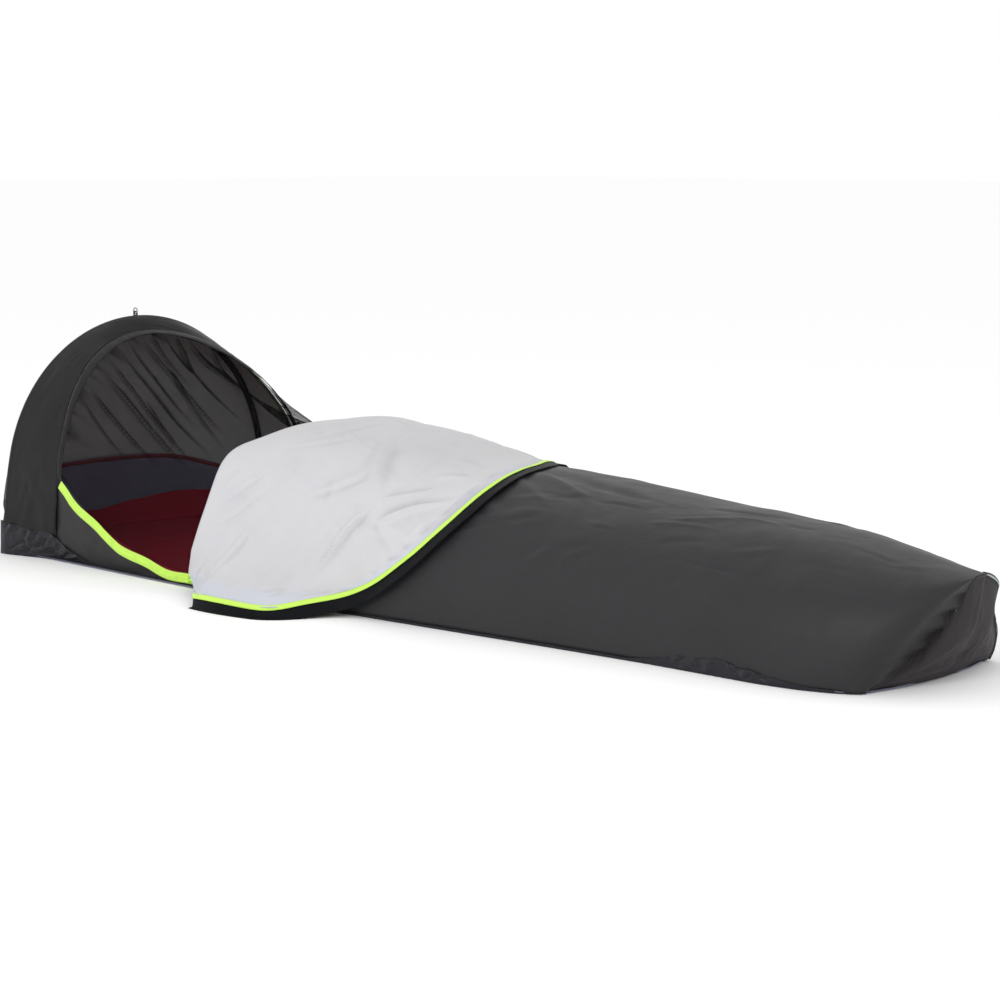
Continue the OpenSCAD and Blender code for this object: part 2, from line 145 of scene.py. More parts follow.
def noise(u, v, cell, seed):
    """Smooth value noise between -1 and 1, with features of about one cell."""
    lattice = np.random.RandomState(seed).rand(128, 128) * 2 - 1
    u, v = np.asarray(u, float) / cell + 37.3, np.asarray(v, float) / cell + 51.7
    i, j = np.floor(u).astype(int), np.floor(v).astype(int)
    s, t = smooth(u - i), smooth(v - j)
    corners = [[lattice[(i + a) % 128, (j + b) % 128] for a in (0, 1)] for b in (0, 1)]
    return mix(mix(*corners[0], s), mix(*corners[1], s), t)


def fbm(u, v, cell, seed, octaves=3):
    return sum(noise(u, v, cell / 2 ** k, seed + k) / 2 ** k for k in range(octaves))


def crease(u, v, p, q, width, depth, bend=0.0):
    """One soft fold line from p to q, tapering at its ends and bowed sideways by bend."""
    (x0, y0), (x1, y1) = p, q
    dx, dy = x1 - x0, y1 - y0
    length = math.hypot(dx, dy)
    t = ((u - x0) * dx + (v - y0) * dy) / length ** 2
    d = ((u - x0) * -dy + (v - y0) * dx) / length - bend * 4 * t * (1 - t)
    taper = smooth(t * 4) * smooth((1 - t) * 2.2)
    w = width * (0.55 + 0.45 * taper)
    return depth * taper * (np.exp(-(d / w) ** 2) - 0.45 * np.exp(-((d - 1.7 * w) / (1.3 * w)) ** 2))


def creases(u, v, seed, count, box, angle, spread, length, width, depth):
    """A field of soft fold lines inside box, mostly along angle."""
    draw = np.random.RandomState(seed)
    total = np.zeros_like(np.asarray(u, float))
    for _ in range(count):
        x, y = draw.uniform(box[0], box[1]), draw.uniform(box[2], box[3])
        way = math.radians(angle + draw.uniform(-spread, spread))
        run = draw.uniform(0.4, 1) * length
        end = (x + math.cos(way) * run, y + math.sin(way) * run)
        total += crease(u, v, (x, y), end, width * draw.uniform(0.5, 1.3), depth * draw.uniform(-1, 1),
                        draw.uniform(-0.12, 0.12) * run)
    return total


# ---- The frame's own curves, as the CAD has them, in millimetres ----
sleeve_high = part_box("pole_sleeve")[1]
tip_low, tip_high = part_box("pole_tip_near")
HOOP_X = round((tip_low.x + tip_high.x) / 2 / MM, 1)
HOOP_H = round(sleeve_high.z / MM, 1)
SLEEVE_R = 6.5
HOOP_HALF_W = 327.0
CROWN_R = 313.0
CROWN_Z = HOOP_H - CROWN_R
LEG_R = (HOOP_HALF_W ** 2 + CROWN_Z ** 2 - CROWN_R ** 2) / (2 * (HOOP_HALF_W - CROWN_R))
LEG_Y = LEG_R - HOOP_HALF_W
LEG_A = math.asin(CROWN_Z / (LEG_R - CROWN_R))
LEG_LEN = LEG_R * LEG_A
HOOP_LEN = 2 * LEG_LEN + CROWN_R * (PI - 2 * LEG_A)
HEAD_BULGE, HEAD_HALF_W, HEAD_WALL_H = 121.0, 330.0, 145.0
PLAN = [[-924, 330], [-876, 313], [-811, 306], [-372, 306], [-50, 276], [188, 254], [410, 232],
        [600, 216], [800, 208], [865, 198], [925, 176], [950, 150], [963, 90], [968, 0]]
RIDGE = [[-372, 264], [-269, 274], [-171, 269], [-80, 257], [48, 240], [142, 235], [422, 221],
         [600, 215], [700, 208], [775, 200], [850, 184], [945, 163]]
ARCH = 2 / 2.4
BASE_Z = 3.0
FOOT_X, FOOT_LEAN, LEAN_FROM = 945.0, 0.56, 600.0
FOOT_TOP, FOOT_ROUND = 165.0, 46.0
ZIP_X, ZIP_Y, ZIP_R, ZIP_Z = -390.0, 300.5, 640.0, 656.0
ZIP_FROM, ZIP_TO = math.radians(-1), math.radians(37.2)
FRONT_TOP, FRONT_SIDE, FRONT_LOW = 26.0, 146.0, 150.0
FRONT_RISE = 0.935  # the band's front edge is this share of the hoop's height
hem_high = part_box("chest_hem")[1]
BODY_X = hem_high.x / MM + 1
SCREEN_X = BODY_X - 20


def hoop_point(u, inset=0.0):
    """(y, z) on the hoop at a share u of its length, inset mm inside its outer line."""
    u = np.asarray(u, float)
    d = np.where(u > 0.5, 1 - u, u) * HOOP_LEN
    side = np.where(u > 0.5, 1.0, -1.0)
    a = np.where(d < LEG_LEN, d / LEG_R, LEG_A + (d - LEG_LEN) / CROWN_R)
    r = np.where(d < LEG_LEN, LEG_R, CROWN_R) - inset
    y = np.where(d < LEG_LEN, r * np.cos(a) - LEG_Y, r * np.cos(a))
    z = np.where(d < LEG_LEN, 0, CROWN_Z) + r * np.sin(a)
    return side * y, z


def front_x(z):
    """How far forward the band's front edge lies at height z."""
    share = np.clip(z / (FRONT_RISE * HOOP_H), 0, 1)
    return HOOP_X + FRONT_TOP + (FRONT_SIDE - FRONT_TOP) * (1 - share ** 2.75)


def front_point(u):
    """The front edge of the band over the hoop."""
    y, z = hoop_point(u)
    z = FRONT_RISE * z
    k = smooth(np.clip(z / FRONT_LOW, 0, 1)) * 0.4 + np.clip(z / FRONT_LOW, 0, 1) * 0.6
    return vec(mix(-800, front_x(np.maximum(z, FRONT_LOW)), k), y * mix(0.9, 0.958, k), z)


def section(x, a, off=0.0):
    """A point of the body's section at station x and angle a, off mm outside the CAD surface."""
    x = np.asarray(x, float)
    half, high = look(PLAN, np.minimum(x, 930)) - 3 + off, look(RIDGE, x) + off
    lean = FOOT_LEAN * smooth((x - LEAN_FROM) / (FOOT_X - LEAN_FROM) * 0.5) * 2
    z = mix(BASE_Z, high, np.abs(np.sin(a)) ** ARCH)
    return vec(x + lean * z, -half * sgn_pow(np.cos(a), ARCH), z)


def head_x(y):
    return HOOP_X - HEAD_BULGE * (1 - np.abs(y / HEAD_HALF_W) ** 3)


def seam_z(y):
    return HEAD_WALL_H * (1 - 0.19 * np.abs(y / 237) ** 3)


def zip_point(a, r=ZIP_R):
    return ZIP_X - r * np.sin(a), ZIP_Z - r * np.cos(a)


def vec(x, y, z):
    """Points from their three coordinates."""
    return np.stack(np.broadcast_arrays(x, y, z), -1)


def unit(v):
    return v / np.maximum(np.linalg.norm(v, axis=-1, keepdims=True), 1e-9)


def grid_normals(p):
    return unit(np.cross(np.gradient(p, axis=0), np.gradient(p, axis=1)))


def grid(n, m, u0=0.0, u1=1.0, v0=0.0, v1=1.0):
    return np.meshgrid(np.linspace(u0, u1, n), np.linspace(v0, v1, m), indexing="ij")


# ---- Meshes ----
def facing(p, way):
    """True where the middle of a grid of points faces along way."""
    n = grid_normals(p)[p.shape[0] // 2, p.shape[1] // 2]
    return float(np.dot(n, way)) > 0


def normals_along(p, way):
    """The normals of a grid of points, on the side that way points to."""
    return grid_normals(p) * (1 if facing(p, way) else -1)


def new_piece(name, points, faces, materials, body=None, replaces=(), uv=None, index=None,
              flat=()):
    mesh = bpy.data.meshes.new(name)
    mesh.from_pydata((np.asarray(points) * MM).tolist(), [], [list(map(int, f)) for f in faces])
    for m in materials:
        mesh.materials.append(m)
    if index is not None:
        mesh.polygons.foreach_set("material_index", np.asarray(index, np.int32))
    soft = np.ones(len(mesh.polygons), bool)
    soft[list(flat)] = False
    mesh.polygons.foreach_set("use_smooth", soft)
    if uv is not None:
        loops = np.zeros(len(mesh.loops), np.int32)
        mesh.loops.foreach_get("vertex_index", loops)
        mesh.uv_layers.new(name="UVMap").data.foreach_set("uv", (np.asarray(uv) * MM)[loops].ravel())
    mesh.validate()
    piece = bpy.data.objects.new(name, mesh)
    bpy.context.scene.collection.objects.link(piece)
    if body:
        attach(piece, body)
    if replaces:
        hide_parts(*replaces)
    return piece


def lengths_along(path):
    """The distance from the first point of a path to each of its points."""
    return np.concatenate([[0], np.linalg.norm(np.diff(path, axis=0), axis=-1).cumsum()])


def grid_uv(p):
    """Distances in mm along both ways of a grid of points."""
    du = np.linalg.norm(np.diff(p, axis=0), axis=-1).mean(1)
    dv = np.linalg.norm(np.diff(p, axis=1), axis=-1).mean(0)
    u, v = np.concatenate([[0], du.cumsum()]), np.concatenate([[0], dv.cumsum()])
    return np.stack(np.meshgrid(u, v, indexing="ij"), -1)


def cloth(name, p, way, out_mat, in_mat, thick, body, replaces=(), values=None):
    """A sheet of fabric from a grid of points on its outer face, which faces along way, thick mm inwards."""
    values = values or {}
    if not facing(p, way):
        p = p[:, ::-1]
        values = {key: value[:, ::-1] for key, value in values.items()}
    n, m = p.shape[:2]
    k = n * m
    normals = grid_normals(p)
    for axis in (0, 1, 0, 1):
        normals = unit(normals + np.gradient(np.gradient(normals, axis=axis), axis=axis))
    inner = p - normals * thick
    uv = grid_uv(p).reshape(-1, 2)
    a = (np.arange(n - 1)[:, None] * m + np.arange(m - 1)[None]).ravel()
    quads = np.stack([a, a + m, a + m + 1, a + 1], 1)
    edges = [(np.arange(m - 1), 1), (np.arange(m - 1, 0, -1) + (n - 1) * m, -1),
             (np.arange(n - 1, 0, -1) * m, -m), (np.arange(n - 1) * m + m - 1, m)]
    rim = np.concatenate([np.stack([at, at + step, at + step + k, at + k], 1) for at, step in edges])
    faces = np.concatenate([quads, quads[:, ::-1] + k, rim])
    index = np.concatenate([np.zeros(len(quads)), np.ones(len(quads)), np.zeros(len(rim))])
    points = np.concatenate([p.reshape(-1, 3), inner.reshape(-1, 3)])
    piece = new_piece(name, points, faces, [out_mat, in_mat], body, replaces,
                      np.concatenate([uv, uv]), index, range(2 * len(quads), len(faces)))
    for key, value in values.items():
        data = piece.data.attributes.new(key, "FLOAT", "POINT")
        data.data.foreach_set("value", np.tile(np.asarray(value, np.float32).ravel(), 2))
    return piece


def declare(p):
    """Works out the cut of a sheet, as long and wide as its rest grid p measured along the cloth; the
    results are not used.
    """
    length = np.linalg.norm(np.diff(p, axis=0), axis=-1).sum(0).max() * MM
    width = np.linalg.norm(np.diff(p, axis=1), axis=-1).sum(1).max() * MM
    d1, d2 = p[1:, 1:] - p[:-1, :-1], p[1:, :-1] - p[:-1, 1:]
    area = float(np.linalg.norm(np.cross(d1, d2), axis=-1).sum() / 2) * MM * MM
    # a long tapering strip goes by its usual width, not its widest
    width = min(round(width, 3), round(area / length / 0.4, 3))
    length = round(length, 3)


def tube(path, radius, sides=8):
    """Points and faces of a closed tube along a path; radius may vary along it."""
    path = np.asarray(path, float)
    t = unit(np.gradient(path, axis=0))
    ref = np.array([1.0, 0, 0]) if abs(t[:, 0]).mean() < 0.8 else np.array([0, 0, 1.0])
    n1 = unit(np.cross(t, ref))
    n2 = np.cross(t, n1)
    ang = np.arange(sides) * 2 * PI / sides
    r = np.broadcast_to(np.asarray(radius, float), (len(path),))[:, None, None]
    ring = n1[:, None] * np.cos(ang)[None, :, None] + n2[:, None] * np.sin(ang)[None, :, None]
    points = (path[:, None] + r * ring).reshape(-1, 3)
    faces = []
    for i in range(len(path) - 1):
        for k in range(sides):
            a, b = i * sides + k, i * sides + (k + 1) % sides
            faces.append((a, a + sides, b + sides, b))
    faces.append(tuple(range(sides)))
    faces.append(tuple(range((len(path) - 1) * sides + sides - 1, (len(path) - 1) * sides - 1, -1)))
    uv = np.stack(np.meshgrid(lengths_along(path), ang * np.mean(radius), indexing="ij"), -1).reshape(-1, 2)
    return points, faces, uv


# ---- Materials ----
class Nodes:
    """A Principled material under construction."""

    def __init__(self, name, rough, **sockets):
        self.mat = bpy.data.materials.new(name)
        self.mat.use_nodes = True
        self.tree = self.mat.node_tree
        self.shader = self.tree.nodes["Principled BSDF"]
        self.shader.inputs["Roughness"].default_value = rough
        for key, value in sockets.items():
            self.shader.inputs[key.replace("_", " ")].default_value = value
        self.uv = self.add("ShaderNodeTexCoord").outputs["UV"]
        self.place = self.tree.nodes[self.uv.node.name].outputs["Object"]

    def add(self, kind, **settings):
        node = self.tree.nodes.new(kind)
        for key, value in settings.items():
            setattr(node, key, value)
        return node

    def link(self, a, b):
        self.tree.links.new(a, b)

    def noise(self, scale, detail=3.0, rough=0.55):
        node = self.add("ShaderNodeTexNoise")
        node.inputs["Scale"].default_value = scale
        node.inputs["Detail"].default_value = detail
        node.inputs["Roughness"].default_value = rough
        self.link(self.place, node.inputs["Vector"])
        return node.outputs["Fac"]

    def wave(self, period, way="X", where=None):
        node = self.add("ShaderNodeTexWave", bands_direction=way)
        node.inputs["Scale"].default_value = 2 * PI / 20 / period
        self.link(where or self.uv, node.inputs["Vector"])
        return node.outputs["Fac"]

    def math(self, kind, a, b):
        node = self.add("ShaderNodeMath", operation=kind)
        for socket, value in zip(node.inputs, (a, b)):
            if isinstance(value, (int, float)):
                socket.default_value = value
            else:
                self.link(value, socket)
        return node.outputs[0]

    def ramp(self, fac, stops):
        node = self.add("ShaderNodeValToRGB")
        bar = node.color_ramp
        while len(bar.elements) < len(stops):
            bar.elements.new(0.5)
        for element, (at, colour) in zip(bar.elements, stops):
            element.position = at
            element.color = colour
        self.link(fac, node.inputs["Fac"])
        return node.outputs["Color"]

    def tint(self, paint, attribute, colour, share):
        """Mixes colour over paint as far as a point attribute of the mesh says."""
        node = self.add("ShaderNodeMix", data_type="RGBA")
        amount = self.add("ShaderNodeAttribute", attribute_name=attribute).outputs["Fac"]
        self.link(self.math("MULTIPLY", amount, share), node.inputs[0])
        self.link(paint, node.inputs[6])
        node.inputs[7].default_value = colour
        return node.outputs[2]

    def bumps(self, *layers):
        """Stacks (height, strength, distance in m) layers into the shader's normal."""
        normal = None
        for height, strength, distance in layers:
            node = self.add("ShaderNodeBump")
            node.inputs["Strength"].default_value = strength
            node.inputs["Distance"].default_value = distance
            self.link(height, node.inputs["Height"])
            if normal:
                self.link(normal, node.inputs["Normal"])
            normal = node.outputs["Normal"]
        self.link(normal, self.shader.inputs["Normal"])

    def rough_by(self, fac, low, high):
        node = self.add("ShaderNodeMapRange")
        node.inputs["To Min"].default_value = low
        node.inputs["To Max"].default_value = high
        self.link(fac, node.inputs["Value"])
        self.link(node.outputs["Result"], self.shader.inputs["Roughness"])


def shade(colour, k):
    return (*[min(c * k, 1.0) for c in colour[:3]], 1.0)


def fabric(name, colour, rough, sheen=0.03, thread=0.0011, weave=0.25, crinkle=0.25, vary=0.16, cells=26.0,
           shine=0.25, marks=False):
    """Woven, coated cloth: threads both ways, a crinkled surface and slightly uneven colour."""
    b = Nodes(name, rough, Sheen_Weight=sheen, Sheen_Roughness=0.45, Specular_IOR_Level=shine)
    threads = b.math("MAXIMUM", b.wave(thread, "X"), b.wave(thread, "Y"))
    wrinkles = b.noise(cells, 5.0, 0.6)
    fine = b.noise(cells * 7, 3.0, 0.6)
    tone = b.math("ADD", b.math("MULTIPLY", b.noise(5.0, 4.0), 0.65), b.math("MULTIPLY", fine, 0.35))
    paint = b.ramp(tone, [(0.25, shade(colour, 1 - vary)), (0.5, colour), (0.78, shade(colour, 1 + vary))])
    # With marks: a bluish band where the edge attribute says, and painted shade, the colour darkened where
    # the fold attribute says.
    if marks:
        paint = b.tint(paint, "edge", (0.52, 0.545, 0.62, 1), 0.8)
        paint = b.tint(paint, "fold", shade(colour, 0.6), 0.5)
    b.link(paint, b.shader.inputs["Base Color"])
    b.rough_by(wrinkles, max(rough - 0.1, 0.05), min(rough + 0.1, 1))
    b.bumps((wrinkles, crinkle, 0.004), (fine, crinkle * 0.6, 0.0008), (threads, weave, 0.00015))
    return b.mat


def hard(name, colour, rough, metal=0.0, grain=320.0, coat=0.0):
    """Moulded plastic or drawn metal with a fine grain and handling marks."""
    b = Nodes(name, rough, Metallic=metal, Coat_Weight=coat)
    marks = b.noise(60.0, 4.0)
    b.link(b.ramp(marks, [(0.3, shade(colour, 0.86)), (0.6, colour), (0.8, shade(colour, 1.12))]),
           b.shader.inputs["Base Color"])
    b.rough_by(marks, max(rough - 0.08, 0.05), rough + 0.1)
    b.bumps((b.noise(grain, 2.0), 0.12, 0.0002))
    return b.mat


def webbing_cloth(name, colour, rough=0.75, rib=0.0016):
    """Narrow woven tape: close ribs across it and a herringbone of fine threads."""
    b = Nodes(name, rough, Sheen_Weight=0.2, Sheen_Roughness=0.5)
    ribs = b.wave(rib, "X", b.place)
    cross = b.wave(rib * 0.8, "DIAGONAL", b.place)
    tone = b.math("ADD", b.math("MULTIPLY", ribs, 0.5), b.math("MULTIPLY", b.noise(90.0, 3.0), 0.5))
    paint = b.ramp(tone, [(0.2, shade(colour, 0.8)), (0.8, shade(colour, 1.1))])
    b.link(paint, b.shader.inputs["Base Color"])
    b.rough_by(cross, rough - 0.08, rough + 0.08)
    b.bumps((ribs, 0.4, 0.0003), (cross, 0.3, 0.0002))
    return b.mat


def tape_cloth(name, colour):
    """Zip tape: a knitted ribbon, with ribs across."""
    b = Nodes(name, 0.6, Sheen_Weight=0.15, Sheen_Roughness=0.4)
    ribs = b.wave(0.0012, "X")
    tone = b.math("ADD", b.math("MULTIPLY", ribs, 0.4), b.math("MULTIPLY", b.noise(70.0, 3.0), 0.6))
    b.link(b.ramp(tone, [(0.2, shade(colour, 0.86)), (0.55, colour), (0.85, shade(colour, 1.06))]),
           b.shader.inputs["Base Color"])
    b.rough_by(ribs, 0.5, 0.7)
    b.bumps((ribs, 0.4, 0.0002), (b.wave(0.0010, "Y"), 0.3, 0.00015))
    return b.mat


def netting_cloth(name, colour, closed=0.3, doubled=0.8):
    """Fine insect mesh: crossing threads with holes between, and nearly solid where it is folded double."""
    b = Nodes(name, 0.65, Specular_IOR_Level=0.0)
    threads = b.math("MAXIMUM", b.wave(0.0016, "X"), b.wave(0.0016, "Y"))
    fold = b.add("ShaderNodeAttribute", attribute_name="fold").outputs["Fac"]
    holes = b.add("ShaderNodeMapRange")
    holes.inputs["From Min"].default_value = 0.55
    holes.inputs["From Max"].default_value = 0.95
    holes.inputs["To Min"].default_value = closed - 0.16
    holes.inputs["To Max"].default_value = closed + 0.22
    b.link(threads, holes.inputs["Value"])
    cover = b.add("ShaderNodeMix")
    b.link(fold, cover.inputs["Factor"])
    b.link(holes.outputs["Result"], cover.inputs["A"])
    cover.inputs["B"].default_value = doubled
    b.link(cover.outputs["Result"], b.shader.inputs["Alpha"])
    tone = b.math("ADD", b.math("MULTIPLY", b.noise(7.0, 4.0), 0.7), b.math("MULTIPLY", threads, 0.3))
    paint = b.ramp(tone, [(0.25, shade(colour, 0.8)), (0.75, shade(colour, 1.2))])
    b.link(paint, b.shader.inputs["Base Color"])
    b.rough_by(threads, 0.5, 0.75)
    b.bumps((threads, 0.3, 0.0002))
    return b.mat


charcoal = fabric("charcoal_shell", srgb(40, 39, 41), 0.52, crinkle=0.3)
# The body's charcoal cloth made darker: painted shade for the sleeve, the hood band and the screen binding.
painted_shade_charcoal = fabric("charcoal_shell_painted_shade", srgb(26, 26, 27), 0.5, crinkle=0.3, shine=0.2)
charcoal_inside = fabric("charcoal_inside", srgb(176, 186, 185), 0.6, crinkle=0.3, vary=0.25, shine=0.15)
floor_fabric = fabric("floor_shell", srgb(21, 20, 29), 0.3, crinkle=0.6, cells=45, vary=0.22, shine=0.32)
floor_inside = fabric("floor_inside", srgb(118, 121, 142), 0.38, crinkle=0.4, cells=35, vary=0.22,
                      shine=0.15)
foot_fabric = fabric("foot_shell", srgb(56, 53, 55), 0.65, crinkle=0.35, shine=0.1)
# The rain flap's dark cloth, made near-black and slightly blue: painted shade over the flap.
flap_painted_shade = fabric("flap_shell_painted_shade", srgb(10, 11, 15), 0.6, crinkle=0.3, shine=0.1)
pale_lining = fabric("pale_lining", srgb(196, 195, 197), 0.5, crinkle=0.35, vary=0.035, cells=20, marks=True)
red_lining = fabric("red_lining", srgb(160, 12, 42), 0.55, crinkle=0.3, vary=0.2, shine=0.08)
seam_red = tape_cloth("seam_red", srgb(120, 26, 36))
lime = tape_cloth("lime_tape", srgb(196, 238, 92))
# The lime zip tape darkened to olive: painted shade for the hoop's tapes tucked between the band and the
# netting.
painted_shade_lime = tape_cloth("shaded_tape", srgb(92, 118, 40))
lime_coil = hard("lime_coil", srgb(208, 250, 96), 0.35, coat=0.3)
lime_metal = hard("lime_metal", srgb(180, 232, 70), 0.32, metal=0.2, coat=0.5)
aluminium = hard("anodised_tube", srgb(150, 153, 158), 0.28, metal=1.0, grain=700)
steel = hard("ferrule_metal", srgb(186, 187, 190), 0.3, metal=1.0, grain=700)
plastic = hard("black_plastic", srgb(26, 26, 28), 0.42)
black_webbing = webbing_cloth("black_webbing", srgb(30, 30, 32))
grey_cord = webbing_cloth("grey_cord", srgb(150, 151, 154), rib=0.001)
elastic = webbing_cloth("elastic_cord", srgb(70, 71, 74), rib=0.0008)
netting = netting_cloth("insect_netting", srgb(20, 20, 22), 0.27)


# ---- Floor ----
def half_width(x):
    """Half the floor's width at x, with the rounded head end and toe."""
    x = np.asarray(x, float)
    head = HEAD_HALF_W * np.clip(1 - (HOOP_X - x) / HEAD_BULGE, 0, 1) ** (1 / 3)
    return np.where(x < HOOP_X, head, np.interp(x, *np.array(PLAN, float).T))


ends = HOOP_X - HEAD_BULGE * (1 - np.linspace(0, 1, 16) ** 3)
TOE_FROM, TOE_LENGTH = 900, 68
stations = np.concatenate([ends[:-1], np.linspace(HOOP_X, TOE_FROM, 120)[:-1],
                           TOE_FROM + TOE_LENGTH * np.linspace(0, 1, 14) ** 0.7])
X, V = np.meshgrid(stations, np.linspace(-1, 1, 41), indexing="ij")
Y = V * np.maximum(half_width(X) - 1, 0.5)
Z = 0.7 + 0.5 * fbm(X, Y, 60, 11) ** 2 + 1.6 * smooth(1 - (1 - np.abs(V)) * half_width(X) / 6)
floor_grid = vec(X, Y, Z)[::-1]
floor_piece = cloth("floor_cloth", floor_grid + [0, 0, 0.7], (0, 0, -1), floor_inside, floor_fabric, 0.8,
                    "sack", ["floor_panel"])
declare(floor_grid)

# ---- Body ----
# Half the foot panel's width at each height: the seam round it lies on the leaning end face.
FOOT_HALF_W = [[0, 148], [15, 121], [29, 90], [47, 68], [67, 51], [93, 41], [127, 31], [154, 24], [165, 15]]
FACE_NORMAL = np.array([0.872, 0, -0.489])
# Where the cloth is pinched along that seam, as the drop from its top, then height and width.
PINCHES_NEAR = [(18, 3, 6), (42, 6, 8), (70, 7, 10), (103, 6, 9), (127, 4, 9), (146, 3, 7)]
PINCHES_FAR = [(40, 1.2, 9), (92, 1.6, 12), (131, 1.2, 10)]


def slumped(p, x, a):
    """The far side of the foot hangs in towards the middle."""
    h = np.clip(p[..., 2] / (FOOT_TOP - 2), 0, 1)
    pull = 22 * np.exp(-((h - 0.62) / np.where(h < 0.62, 0.33, 0.42)) ** 2) + 9 * smooth((h - 0.8) * 5)
    amount = pull * np.exp((x - FOOT_X) / 100) * smooth(-4 * np.cos(a))
    return p - amount[..., None] * np.array([1, 1, 0])


def foot_seam(a):
    """Points of the foot panel's seam for the angles a round the section."""
    z = section(FOOT_X, a)[..., 2]
    edge_y = section(FOOT_X, a)[..., 1]
    near_y = -look(FOOT_HALF_W, z, 3) * smooth(np.cos(a) * 7)
    y = np.where(np.cos(a) > 0, np.maximum(near_y, edge_y), edge_y)
    return vec(FOOT_X + FOOT_LEAN * z + 3, y, z)


def pinches(a):
    """How far the gathered cloth stands up along the foot seam."""
    drop = FOOT_TOP - foot_seam(a)[..., 2]
    total = 0.5 * noise(drop, np.sign(np.cos(a)) * 40, 9, 71)
    for side, table in ((1, PINCHES_NEAR), (-1, PINCHES_FAR)):
        for at, high, wide in table:
            d = (drop - at) / wide
            pinch = np.exp(-d ** 2) - 0.6 * np.exp(-(d - 1.5) ** 2)
            total = total + (np.sign(np.cos(a)) == side) * high * pinch
    return total


# The cover's long folds under the door: from and to, then width, depth and bow.
COVER_FOLDS = [((170, -18), (420, -150), 13, 3.8, 14), ((150, -60), (330, -190), 12, 3.2, 10),
               ((200, 10), (520, -60), 14, -2.8, -12), ((120, -150), (300, -300), 14, 2.6, 16)]


def body_relief(u, s, a):
    """How far the cover's folds stand off, u mm along it and s mm round it."""
    d = 3.4 * fbm(u, s, 230, 21, 2) + 1.1 * fbm(u, s, 80, 23, 2)
    d += creases(u, s, 31, 30, (150, 620, -330, 80), 14, 26, 210, 11, 2.0)
    d += creases(u, s, 33, 26, (640, 940, -420, 420), 35, 60, 130, 8, 1.8)
    d += creases(u, s, 35, 30, (200, 940, -470, -330), 78, 30, 90, 8, 2.2)
    d += creases(u, s, 36, 26, (200, 940, 330, 470), 100, 30, 90, 8, 2.0)
    for start, end, width, depth, bow in COVER_FOLDS:
        d += crease(u, s, start, end, width, depth, bow)
    return d * (0.25 + 0.75 * np.sin(a) ** 0.4)


angles = np.linspace(0, PI, 181)
U, A = np.meshgrid(np.linspace(BODY_X, FOOT_X - FOOT_ROUND, 150), angles, indexing="ij")
straight = slumped(section(U, A), U, A)
corner = slumped(section(np.full_like(angles, FOOT_X + 5), angles), FOOT_X, angles)
seam = slumped(foot_seam(angles), FOOT_X, angles)
reach = np.linalg.norm(seam - corner, axis=-1, keepdims=True)
turn = mix(corner, seam, np.minimum(0.5, FOOT_ROUND / np.maximum(reach, 1)))
steps = np.linspace(0, 1, 17)[1:]
rounding = [(1 - t) ** 2 * straight[-1] + 2 * t * (1 - t) * corner + t * t * turn for t in steps]
flat_part = [mix(turn, seam, t) for t in steps]
base = np.concatenate([straight, rounding, flat_part])
run = np.concatenate([np.zeros((1, len(angles))), np.linalg.norm(np.diff(base, axis=0), axis=-1).cumsum(0)])
gap = run[-1] - run
S = np.broadcast_to((angles - PI / 2) * 330, run.shape)
normals = normals_along(base, UP)
relief = body_relief(BODY_X + run, S, angles[None])
hidden = smooth((BODY_X + run - 150) / 60)
relief = np.where(relief > 0, relief * mix(0.45, 1, hidden), relief) * mix(0.25, 1, smooth(gap / 50))
relief = relief + pinches(angles)[None] * np.exp(-(gap / 26) ** 1.4)
body_grid = base + normals * relief[..., None]
body_grid[..., 2] = np.maximum(body_grid[..., 2], 1.6)


body_piece = cloth("body_cover", body_grid, UP, charcoal, charcoal_inside, 0.7, "sack",
                   ["body_shell"])
declare(base)

# The foot panel: rows from its seam down to the floor's toe.
K, T = grid(40, len(angles), 0, 1, -1, 1)
toe_half = 0.97 * body_grid[-1, 0, 1]
toe = vec(FOOT_X + 23 * (1 - T[0] ** 2), -toe_half * T[0], 2)
foot_rest = mix(seam[None], toe[None], K[..., None])
drape = 19 * np.sin(PI * K) ** 0.8 * (1 - T ** 4) + 2.2 * fbm(K * 160, foot_rest[..., 1], 60, 53)
drape += crease(foot_rest[..., 1], foot_rest[..., 2], (-120, 14), (150, 30), 7, 5.0, 6)
drape += creases(foot_rest[..., 1], foot_rest[..., 2], 51, 16, (-100, 100, 20, 140), 80, 40, 70, 6, 1.8)
carried = np.exp(-K * 6) * (1 - K)
foot_grid = foot_rest + FACE_NORMAL * (drape * np.sin(PI * K) ** 0.6)[..., None]
foot_grid += (body_grid[-1] - seam)[None] * carried[..., None]
foot_grid[..., 2] = np.maximum(foot_grid[..., 2], 1.4)
foot_piece = cloth("foot_end", foot_grid, (1, 0, 0), foot_fabric, charcoal_inside, 0.7, "sack",
                   ["foot_panel"])
declare(foot_rest)

# The welt of the foot seam: a narrow doubled edge that follows the gathers.
seam_line = body_grid[-1]
way_in = unit(np.cross(np.gradient(seam_line, axis=0), FACE_NORMAL))
welt_rows = np.stack([seam_line + way_in * dx + FACE_NORMAL * h
                      for dx, h in ((-3.4, -0.6), (-1.8, 1.3), (0.2, 2.0), (2.0, 1.2), (3.4, -0.6))])
welt_rows[..., 2] = np.maximum(welt_rows[..., 2], 1.6)
cloth("foot_seam_welt", welt_rows, (0.9, 0, 0.1), charcoal, charcoal, 0.5, "sack",
      ["foot_seam_piping"])

# The hem along the front edge of the body, which both doors are sewn to.
U, A = grid(5, 121, BODY_X - 17, BODY_X + 2, 0, PI)
cloth("chest_hem_cloth", section(U, A, -0.5), UP, charcoal, charcoal_inside, 1.2, "sack",
      ["chest_hem"])

